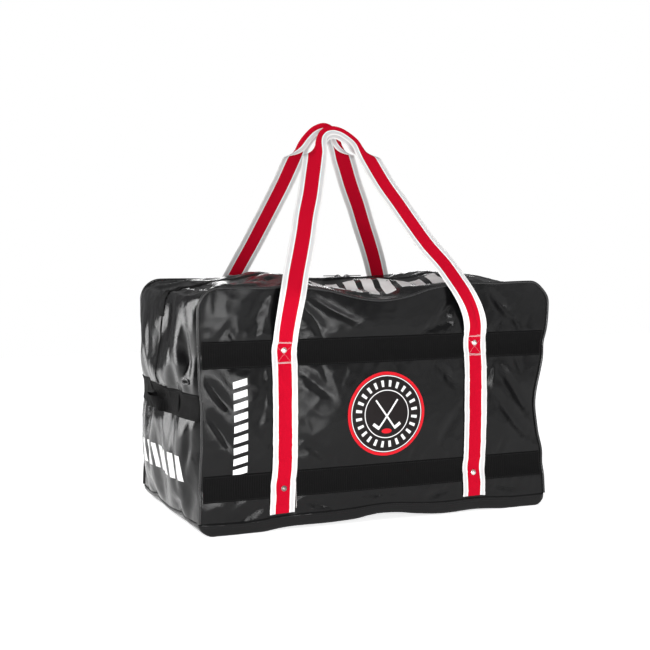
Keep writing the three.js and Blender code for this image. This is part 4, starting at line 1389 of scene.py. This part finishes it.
def coil_tree():
    """Zip teeth: flattened rings set close together along the edge of the tape."""
    t = Tree("zip_coil", [("Pitch", "NodeSocketFloat"), ("Width", "NodeSocketFloat"),
                          ("Material", "NodeSocketMaterial")])
    line = t.add("GeometryNodeMeshToCurve", Mesh=t.given.outputs["Geometry"])
    even = t.add("GeometryNodeResampleCurve", {"mode": "LENGTH"}, Curve=line.outputs[0],
                 Length=t.given.outputs["Pitch"])
    ring = t.add("GeometryNodeCurvePrimitiveCircle", Resolution=10,
                 Radius=t.given.outputs["Width"])
    bead = t.add("GeometryNodeCurvePrimitiveCircle", Resolution=5, Radius=0.42 * MM)
    loop = t.add("GeometryNodeCurveToMesh", Curve=ring.outputs[0], Profile_Curve=bead.outputs[0])
    flat = t.add("GeometryNodeTransform", Geometry=loop.outputs[0], Scale=(1.0, 0.62, 1.0))
    way = t.add("GeometryNodeInputTangent")
    turn = t.add("FunctionNodeAlignRotationToVector", {"axis": "Z"}, Vector=way.outputs[0])
    copies = t.add("GeometryNodeInstanceOnPoints", Points=even.outputs[0],
                   Instance=flat.outputs[0], Rotation=turn.outputs[0])
    t.realized(copies.outputs[0])
    return t


STITCHES, RIVETS, COIL = stitch_tree(), rivet_tree(), coil_tree()


def strung(lines):
    """Points and edges of several separate lines."""
    points, edges = [], []
    for line in lines:
        edges += [(len(points) + i, len(points) + i + 1) for i in range(len(line) - 1)]
        points += list(np.asarray(line))
    return points, edges


def sewn(name, lines, thread, pitch=3.4, length=1.25, radius=0.34):
    """Stitches along lines. Sizes are in millimetres; length is half a stitch."""
    return STITCHES.run(name, *strung(lines), Pitch=pitch * MM, Length=length * MM,
                        Radius=radius * MM, Material=thread)


print("node trees:", [t.tree.name for t in (STITCHES, RIVETS, COIL)])

# %% [markdown]
# ## Seams and stitched boxes
# Black thread runs beside the main seams. On each strap a box of pale thread, two bars and a cross,
# holds the strap to the upper band, and the free part starts above it.


# %% Black thread along seams and webbing edges
ROW_STEP, EDGE_THREAD = 6 * MM, 22.5 * MM


def seam_lines(skin):
    """Along the base seam, and beside both edges of both bands."""
    x = spaced(-HALF + 4 * MM, HALF - 4 * MM, ROW_STEP)
    lines = [skin.place(x, np.full_like(x, LIP - 3.5 * MM), 1.1 * MM),
             skin.place(x, np.full_like(x, LIP - 8 * MM), 1.1 * MM)]
    x = spaced(-BAND_REACH + 3 * MM, BAND_REACH - 3 * MM, ROW_STEP)
    for level in (UPPER, LOWER):
        for off in (-EDGE_THREAD, EDGE_THREAD):
            lines.append(skin.place(x, np.full_like(x, level + off), 1.8 * MM))
    return lines


def end_lines(skin, name):
    y = spaced(-DEEP + 4 * MM, DEEP - 4 * MM, ROW_STEP)
    lines = [skin.place(np.full_like(y, LIP - off * MM), y, 1.1 * MM) for off in (3.5, 8)]
    y = spaced(-END_REACH + 3 * MM, END_REACH - 3 * MM, ROW_STEP)
    lines += [skin.place(np.full_like(y, END_BAND + off), y, 1.8 * MM)
              for off in (-EDGE_THREAD, EDGE_THREAD)]
    z = spaced(LAP_LOW, LAP_TOP, ROW_STEP)
    lines += [skin.place(z, np.full_like(z, off), 1.7 * MM) for off in (-4 * MM, 4 * MM)]
    low, high = YOKES[name]
    c = np.arange(low - 2 * (name == "left"), high + 2 * (name == "right"), 0.5)
    for off in (-15 * MM, 15 * MM):
        at = np.full_like(c, off)
        lines.append(corner.raw(c, at) + corner.out(c, at, COLUMN_REACH) * 1.6 * MM)
    for way in (-1, 1):
        y0, y1 = way * 56 * MM, way * 106 * MM
        for a, b in (((y0, -20), (y1, 20)), ((y0, 20), (y1, -20)), ((y0, -20), (y0, 20)),
                     ((y1, -20), (y1, 20)), ((y0, 20), (y1, 20)), ((y0, -20), (y1, -20))):
            t = np.linspace(0, 1, 14)
            y = a[0] + (b[0] - a[0]) * t
            lines.append(skin.place(END_BAND + (a[1] + (b[1] - a[1]) * t) * MM, y, 4.5 * MM))
    return lines


for name, skin in (("front", front), ("rear", rear)):
    rooted(sewn(name + "_thread", seam_lines(skin), black_thread), "black_webbing")
for name, skin in (("left", left), ("right", right)):
    rooted(sewn(name + "_end_thread", end_lines(skin, name), black_thread), "black_webbing")


# %% The pale boxes on the straps
def on_leg(skin, x_side, pairs, off):
    """A line through (across, height) pairs in millimetres, on the face of a leg."""
    across, z = (np.array(pairs, float) * MM).T
    return skin.place(x_side * LEG_X + across, z, 3.3 * MM + off)


def filled(pairs, step=1.0):
    """Points a step apart, in millimetres, on a line through the pairs."""
    return smooth_path(pairs, step)


BOX_LOW, BOX_TOP = 317, 355
pale, cross = [], []
for skin in (front, rear):
    for x_side in (-1, 1):
        for z in (BOX_LOW, BOX_TOP):
            for row in (-0.75, 0.75):
                bar = filled([(-21.5, z + row), (0, z + row * 1.2), (21.5, z + row)])
                pale.append(on_leg(skin, x_side, bar, 0.25 * MM))
        for a, b in (((-13, 319), (13, 348)), ((-13, 348), (13, 319))):
            cross.append(on_leg(skin, x_side, filled([a, b]), 0.15 * MM))
        for off in (-22.6, 22.6):
            edge = filled([(off, 40), (off, 170), (off, 312)], 4.0)
            pale.append(on_leg(skin, x_side, edge, 0.0))
rooted(sewn("strap_bar_stitches", pale, white_thread, 1.7, 1.15, 0.5), "striped_webbing")
rooted(sewn("strap_cross_stitches", cross, grey_thread, 2.3, 0.95, 0.3), "striped_webbing")

# %% Rivets
# The lower left rivet of each side panel is made in the darker copy of the nickel, and the others in
# the plain nickel.
bright, dull = [], []
for name, skin in (("front", front), ("rear", rear)):
    for half, x_side in (("left", -1), ("right", 1)):
        for level in ("upper", "lower"):
            z = middle(f"{name}_{half}_{level}_rivet", 2)
            spot = np.array(x_side * LEG_X), np.array(z)
            aim = skin.out(*spot, 8 * MM)
            at = skin.place(*spot) + aim * 3.6 * MM
            (dull if (half, level) == ("left", "lower") else bright).append((at, aim))
for name, spots, metal in (("bright_rivets", bright, nickel), ("dull_rivets", dull, darker_nickel)):
    studs = RIVETS.run(name, [s[0] for s in spots], [], [s[1] for s in spots], Cap=4.4 * MM,
                       Washer=5.6 * MM, Material=metal)
    nodes = [f"{f}_{h}_{v}_rivet" for f in ("front", "rear") for h in ("left", "right")
             for v in ("upper", "lower") if ((h, v) == ("left", "lower")) == (metal is darker_nickel)]
    rooted(studs, "nickel", *nodes)
    print(name, len(spots), "of", len(studs.data.polygons), "faces")

# %% Zip coil
for side, way in (("front", -1), ("rear", 1)):
    for span, low, high in SPANS:
        x = np.arange(low, high, 3 * MM)
        line = lid.place(x, np.full_like(x, way * 1.6 * MM), -0.6 * MM)
        coil = COIL.run(f"{side}_zip_coil_{span}", *strung([line]), Pitch=1.7 * MM,
                        Width=1.45 * MM, Material=black_nylon)
        hung_on_lid(coil, side, span)
        if span == "middle":
            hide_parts(side + "_zip_coil")
        x = spaced(low, high, ROW_STEP)
        rows = [lid.place(x, np.full_like(x, way * off), 0.3 * MM)
                for off in (SLOT + 2.5 * MM, SLOT + 6 * MM, DEEP - 7 * MM)]
        hung_on_lid(sewn(f"{side}_lid_thread_{span}", rows, black_thread), side, span)
print("coil pieces", 2 * len(SPANS))

# %% [markdown]
# ## Crest, prints and eyelets
# The round crest is a generic one: a red rim, white rings, a dark band with evenly spaced marks,
# and two crossed sticks over a puck. Plain slanted bars in white vinyl stand for the prints.


# %% The crest's finish, drawn by distance and angle
CREST_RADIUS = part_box("crest_patch")[1].x + 1.5 * MM


def crest_finish():
    f = Finish("crest_vinyl", specular_ior_level=0.16)
    x, y = f.across_and_along()
    r = ((x * x + y * y) ** 0.5) / CREST_RADIUS
    angle = f.angle(y, x)
    marks = ((angle * (24 / (2 * math.pi))).one("FRACT").near(0.5, 0.34, 0.06)
             * r.near(0.725, 0.15, 0.012))
    rings = f.clamped(r.near(0.905, 0.018, 0.008) + r.near(0.565, 0.02, 0.008))
    rim = f.clamped((r - 0.925) / 0.008)
    dark_line = r.near(0.962, 0.006, 0.01)
    grain = f.noise(700.0, detail=2.0)
    base = f.mix(f.clamped(grain), (0.005, 0.003, 0.003), (0.010, 0.007, 0.007))
    red = f.mix(f.clamped(grain), (0.56, 0.004, 0.012), (0.70, 0.009, 0.020))
    white = (0.86, 0.85, 0.85)
    sticks = stick_mask(f, x, y, 1) + stick_mask(f, x, y, -1)
    puck_r = (((x / (11 * MM)) ** 2.0) + (((y + 33 * MM) / (5 * MM)) ** 2.0)) ** 0.5
    puck = f.clamped((1 - puck_r) / 0.08)
    colour = f.mix(f.clamped(rim), base, f.mix(dark_line * 0.6, red, (0.38, 0.002, 0.008)))
    colour = f.mix(f.clamped(rings + marks), colour, white)
    colour = f.mix(f.clamped(puck), colour, red)
    colour = f.mix(f.clamped(sticks), colour, white)
    f.set("Base Color", colour)
    f.set("Roughness", 0.34 + grain * 0.12)
    print_edge = f.clamped(rings + marks + rim + sticks + puck)
    f.set("Normal", f.bump(print_edge, 0.12 * MM, 1.0, f.bump(grain, 0.03 * MM)))
    return f.material


def stick_mask(f, x, y, way):
    """A hockey stick: a straight shaft, and a short blade at its lower end."""
    lean = math.radians(36)
    along = x * (way * math.sin(lean)) + (y + 4 * MM) * math.cos(lean)
    across = x * (way * math.cos(lean)) - (y + 4 * MM) * math.sin(lean)
    shaft = across.near(0.0, 3.2 * MM, 0.7 * MM) * along.near(4 * MM, 70 * MM, 0.8 * MM)
    blade = (along.near(-28.5 * MM, 6 * MM, 0.8 * MM)
             * across.near(-7 * MM, 15 * MM, 0.8 * MM))
    return f.clamped(shaft + blade)


# %% The crest
def crest():
    rings, around = 26, 112
    r = np.linspace(0.0, 1.0, rings)[1:] * CREST_RADIUS
    turn = np.linspace(0, 2 * math.pi, around, endpoint=False)
    x, z = r[:, None] * np.cos(turn), r[:, None] * np.sin(turn)
    cx, cz = middle("crest_patch", 0) + 3 * MM, middle("crest_patch", 2) - 1 * MM
    x, z = np.concatenate([[0], x.ravel()]), np.concatenate([[0], z.ravel()])
    faces = front.place(cx + x, cz + z, 1.3 * MM), front.place(cx + x, cz + z, 0.1 * MM)
    count = len(x)
    ids = 1 + np.arange((rings - 1) * around).reshape(rings - 1, around)
    shut = np.concatenate([ids, ids[:, :1]], 1)
    body = np.stack([shut[:-1, :-1], shut[1:, :-1], shut[1:, 1:], shut[:-1, 1:]], 2).reshape(-1, 4)
    hub = [[0, a, b] for a, b in zip(shut[0, :-1], shut[0, 1:])]
    edge = np.stack([shut[-1, :-1], shut[-1, :-1] + count, shut[-1, 1:] + count, shut[-1, 1:]], 1)
    top = [list(f) for f in body] + hub
    under = [[i + count for i in f[::-1]] for f in top]
    faces_all = top + under + [list(f) for f in edge]
    uv = np.concatenate([np.stack([x, z], 1)] * 2)
    return piece("crest_disc", np.concatenate(faces), faces_all, crest_finish(), uv)


badge = crest()
rooted(badge, "crest_vinyl", "crest_patch")
print("crest radius", round(CREST_RADIUS, 4))


# %% Slanted bars in white vinyl
def bars(name, skin, start, step, count, wide, tall, slant, swap=False):
    """Parallelograms in a row from start, one every step, laid on a skin."""
    rows, columns = 9, 7
    s, t = np.meshgrid(np.linspace(-0.5, 0.5, rows), np.linspace(-0.5, 0.5, columns), indexing="ij")
    points, faces, uv = [], [], []
    for n in range(count):
        a = start[0] + step[0] * n + s * wide + (0 if swap else 1) * t * slant
        b = start[1] + step[1] * n + t * tall + (1 if swap else 0) * s * slant
        at = len(points) * rows * columns
        top, low = skin.place(a, b, 0.65 * MM), skin.place(a, b, -0.2 * MM)
        made = sheet_faces(rows, columns)
        n_up = np.cross(top[1, 0] - top[0, 0], top[0, 1] - top[0, 0])
        if n_up @ (top - low).mean((0, 1)) < 0:
            made = made[:, ::-1]
        points += [top.reshape(-1, 3), low.reshape(-1, 3)]
        faces.append(made + at)
        uv += [np.stack([a, b], 2).reshape(-1, 2)] * 2
    return piece(name, np.concatenate(points), np.concatenate(faces), print_vinyl,
                 np.concatenate(uv))


marks = bars("front_print", front, (-0.292, 0.119), (0, 0.0205), 9, 0.028, 0.0125, 0.007, True)
rooted(marks, "crest_vinyl")
marks = bars("left_print", left, (0.120, 0.100), (0, -0.038), 7, 0.046, 0.021, 0.012, True)
rooted(marks, "crest_vinyl")
marks = bars("lid_print", lid, (-0.095, -0.098), (0.0375, 0), 8, 0.024, 0.094, 0.024)
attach(marks, "front_lid")

# %% Eyelets
for name, skin in (("left", left), ("right", right)):
    y0, z0 = middle(name + "_eyelet", 1), middle(name + "_eyelet", 2)
    long, tall = 12 * MM, 5.5 * MM
    turn = np.linspace(0, 2 * math.pi, 48)
    oval = [np.sign(np.cos(turn)) * np.abs(np.cos(turn)) ** 0.7, np.sin(turn)]
    path = skin.place(z0 + oval[1] * (tall - 1.5 * MM), y0 + oval[0] * (long - 1.5 * MM), 1.0 * MM)
    ring = tube(name + "_eyelet_ring", path, 1.7 * MM, piping_vinyl, 10)
    rooted(ring, "piping_vinyl", name + "_eyelet")
    # A dark woven sheet fills the ring. It is painted shade that stands in for the dark open hole of
    # the vent, which is not cut through the skin.
    t, r = np.meshgrid(turn, np.linspace(0.02, 1, 5), indexing="ij")
    a = z0 + np.sin(t) * r * (tall - 1 * MM)
    b = y0 + np.sign(np.cos(t)) * np.abs(np.cos(t)) ** 0.7 * r * (long - 1 * MM)
    hole_shade_sheet = slab(name + "_eyelet_mesh", skin.place(a, b, 0.5 * MM), skin.place(a, b, 0.1 * MM),
                     zip_tape, np.stack([b, a], 2))
    rooted(hole_shade_sheet, "zip_tape")

# %% [markdown]
# ## Zip sliders and pull tabs
# Each slider is a rounded metal plate that narrows towards its tail, with a bridge over it. The
# pull tab is a flat bar with an eye at one end, which hangs on the bridge.


# %% Slider and tab shapes
def rounded_outline(long, wide, nose, tail, count=44):
    """An outline in the plane: long along x, with its half widths at the nose and the tail."""
    turn = np.linspace(0, 2 * math.pi, count, endpoint=False)
    x = np.sign(np.cos(turn)) * np.abs(np.cos(turn)) ** 0.6 * long / 2
    y = np.sign(np.sin(turn)) * np.abs(np.sin(turn)) ** 0.6 * wide / 2
    share = tail + (nose - tail) * (0.5 + x / long)
    return np.stack([x, y * share], 1)


def lofted(outline, levels):
    """A closed body of scaled outlines at given heights, with flat ends."""
    count = len(outline)
    points = np.concatenate([np.column_stack([outline * scale, np.full(count, z)])
                             for scale, z in levels])
    ids = np.arange(len(levels) * count).reshape(-1, count)
    faces = [list(f) for f in ring_faces(ids)]
    return points, faces + [list(ids[0][::-1]), list(ids[-1])]


def eyed_bar(outline, eye, thick, soft):
    """A flat bar with an eye through it. Both loops have the same number of points."""
    section = [(soft, -0.5), (0.0, -0.25), (0.0, 0.25), (soft, 0.5)]
    loops = []
    for inset, level in section:
        loops.append((outline * (1 - inset / 9), level * thick))
    for inset, level in section[::-1]:
        middle_eye = eye.mean(0)
        loops.append((middle_eye + (eye - middle_eye) * (1 + inset / 3), level * thick))
    points = np.concatenate([np.column_stack([loop, np.full(len(loop), z)]) for loop, z in loops])
    count = len(outline)
    ids = np.arange(len(loops) * count).reshape(-1, count)
    ids = np.concatenate([ids, ids[:1]], 0)
    return points, [list(f) for f in ring_faces(ids)]


def joined(parts):
    points, faces, start = [], [], 0
    for part_points, part_faces in parts:
        points.append(np.asarray(part_points))
        faces += [[i + start for i in f] for f in part_faces]
        start += len(part_points)
    return np.concatenate(points), faces


# %% The two sliders and their tabs
for name, way in (("left", 1), ("right", -1)):
    low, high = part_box(name + "_slider")
    at = np.array([(low[0] + high[0]) / 2, (low[1] + high[1]) / 2, low[2]])
    outline = rounded_outline(high[0] - low[0], high[1] - low[1], 1.0, 0.72) * [way, way]
    plate = lofted(outline, [(0.9, 0), (1.0, 0.5 * MM), (1.0, 2.1 * MM), (0.93, 2.7 * MM)])
    arch = np.array([(-5.2, 0, 1.6), (-4.9, 0, 3.6), (-2.4, 0, 4.9), (0, 0, 5.2), (2.6, 0, 4.7),
                     (5.0, 0, 3.3), (5.4, 0, 1.6)]) * MM
    bridge_points, bridge_faces, _ = tube_data(smooth_path(arch, 0.5 * MM), 0.95 * MM, 10)
    points, faces = joined([plate, (bridge_points * [way, 1, 1], bridge_faces)])
    if way < 0:
        made = len(plate[1])
        faces = faces[:made] + [f[::-1] for f in faces[made:]]
    body = piece(name + "_slider_metal", points + at, faces, dark_zinc, points[:, :2])
    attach(body, name + "_slider_body")
    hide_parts(name + "_slider")

    low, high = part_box(name + "_pull_tab")
    long, wide = high[0] - low[0], high[1] - low[1]
    at = (np.array(low) + np.array(high)) / 2
    outline = rounded_outline(long, wide, 0.8, 1.0)
    eye = rounded_outline(6.0 * MM, 4.2 * MM, 1.0, 1.0) + [long / 2 - 5.5 * MM, 0]
    points, faces = eyed_bar(outline, eye, high[2] - low[2], 0.4)
    points = points * [way, 1, 1]
    faces = faces if way > 0 else [f[::-1] for f in faces]
    tab = piece(name + "_tab_metal", points + at, faces, dark_zinc, points[:, :2])
    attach(tab, name + "_tab_body")
    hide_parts(name + "_pull_tab")
    print(name, "slider and tab", len(body.data.polygons), len(tab.data.polygons), "faces")

# %% [markdown]
# ## Cut sizes
# For the cloths, bands and straps the area is printed against the size that each was cut to. The
# five lengths named below were set from the finished pieces' own length or area, so the share
# printed for those is close to 1 and tests nothing. Tapes, lapped seams and prints are left out.


# %% Flat sizes
LEG_LONG, STRAP_LONG, GRIP_LONG, GRAB_LONG, YOKE_LONG = 0.438, 0.327, 0.172, 0.138, 0.098


def cut(name, wide, long, rests_on=()):
    thing = bpy.data.objects[name]
    solid = thing.evaluated_get(bpy.context.evaluated_depsgraph_get()).data
    area = sum(p.area for p in solid.polygons) / 2
    print(f"{name}: cut {wide:.3f} x {long:.3f}, share {area / (wide * long):.2f}")


for name in ("front", "rear"):
    cut(name + "_panel_cloth", 2 * HALF, TALL)
    for level in ("upper", "lower"):
        cut(f"{name}_{level}_band_webbing", WEBBING, 2 * BAND_REACH, [name + "_panel_cloth"])
    for span, low, high in SPANS:
        cut(f"{name}_lid_{span}_cloth", DEEP, high - low)
for name in ("left", "right"):
    cut(name + "_end_cloth", 2 * DEEP, TALL)
    cut(name + "_end_band_webbing", WEBBING, 2 * END_REACH, [name + "_end_cloth"])
    cut(name + "_yoke_cloth", 2 * DEEP, YOKE_LONG)
    for half in ("front", "rear"):
        cut(f"{name}_grab_{half}_half", WEBBING, GRAB_LONG)
for name in ("front", "rear"):
    for half in ("left", "right"):
        cut(f"{name}_{half}_leg_webbing", WEBBING, LEG_LONG, [name + "_panel_cloth"])
        cut(f"{name}_handle_{half}_strap_webbing", WEBBING, STRAP_LONG)
    cut(name + "_handle_grip_webbing", WEBBING, GRIP_LONG)
cut("base_cloth", 2 * (HALF + LIP), 2 * (DEEP + LIP))

# %% [markdown]
# ## Floor and studio light

# %% Floor, world and lights
bpy.ops.mesh.primitive_plane_add(size=6.4, location=(0, 0, -0.0005))
floor = bpy.context.object
floor.name = "floor"
floor_finish = Finish("pale_floor", roughness=0.9, specular_ior_level=0.05,
                      emission_color=(1, 1, 1), emission_strength=0.72)
floor_shade = floor_finish.noise(1.5)
floor_finish.set("Base Color", floor_finish.mix(floor_shade, (0.95, 0.95, 0.95), (0.97, 0.97, 0.97)))
floor.data.materials.append(floor_finish.material)

world = bpy.data.worlds.new("studio")
bpy.context.scene.world = world
world.use_nodes = True
sky = world.node_tree
room = sky.nodes["Background"]
room.inputs["Color"].default_value = (0.17, 0.17, 0.172, 1)
white = sky.nodes.new("ShaderNodeBackground")
white.inputs["Color"].default_value = (1, 1, 1, 1)
ray = sky.nodes.new("ShaderNodeLightPath")
both = sky.nodes.new("ShaderNodeMixShader")
sky.links.new(ray.outputs["Is Camera Ray"], both.inputs[0])
sky.links.new(room.outputs[0], both.inputs[1])
sky.links.new(white.outputs[0], both.inputs[2])
sky.links.new(both.outputs[0], sky.nodes["World Output"].inputs["Surface"])


def panel_light(name, place, aim, wide, tall, power):
    data = bpy.data.lights.new(name, "AREA")
    data.shape, data.size, data.size_y, data.energy = "RECTANGLE", wide, tall, power
    lamp = bpy.data.objects.new(name, data)
    bpy.context.scene.collection.objects.link(lamp)
    lamp.location = place
    lamp.visible_camera = False
    lamp.rotation_euler = (Vector(aim) - Vector(place)).to_track_quat("-Z", "Y").to_euler()
    return lamp


panel_light("left_panel", (-1.7, 1.45, 0.85), (-0.35, 0, 0.25), 0.45, 1.7, 26)
panel_light("fill", (-1.5, -3.1, 0.65), (0, 0, 0.5), 1.6, 0.6, 58)
panel_light("front_strip", (0.1, -3.2, 0.36), (0, 0, 0.25), 0.3, 0.7, 20)
panel_light("rear_panel", (1.3, 3.1, 0.78), (0, 0, 0.46), 1.5, 0.22, 5)
panel_light("right_panel", (1.9, -2.9, 0.9), (0, 0, 0.25), 1.8, 1.5, 9)
panel_light("high_front", (-0.5, -2.0, 2.7), (0, -0.2, 0.3), 1.2, 0.5, 6)
overhead = bpy.data.lights.new("overhead", "SUN")
overhead.energy, overhead.angle = 0.5, math.radians(110)
lamp = bpy.data.objects.new("overhead", overhead)
bpy.context.scene.collection.objects.link(lamp)
lamp.rotation_euler = (math.radians(14), 0, math.radians(-20))
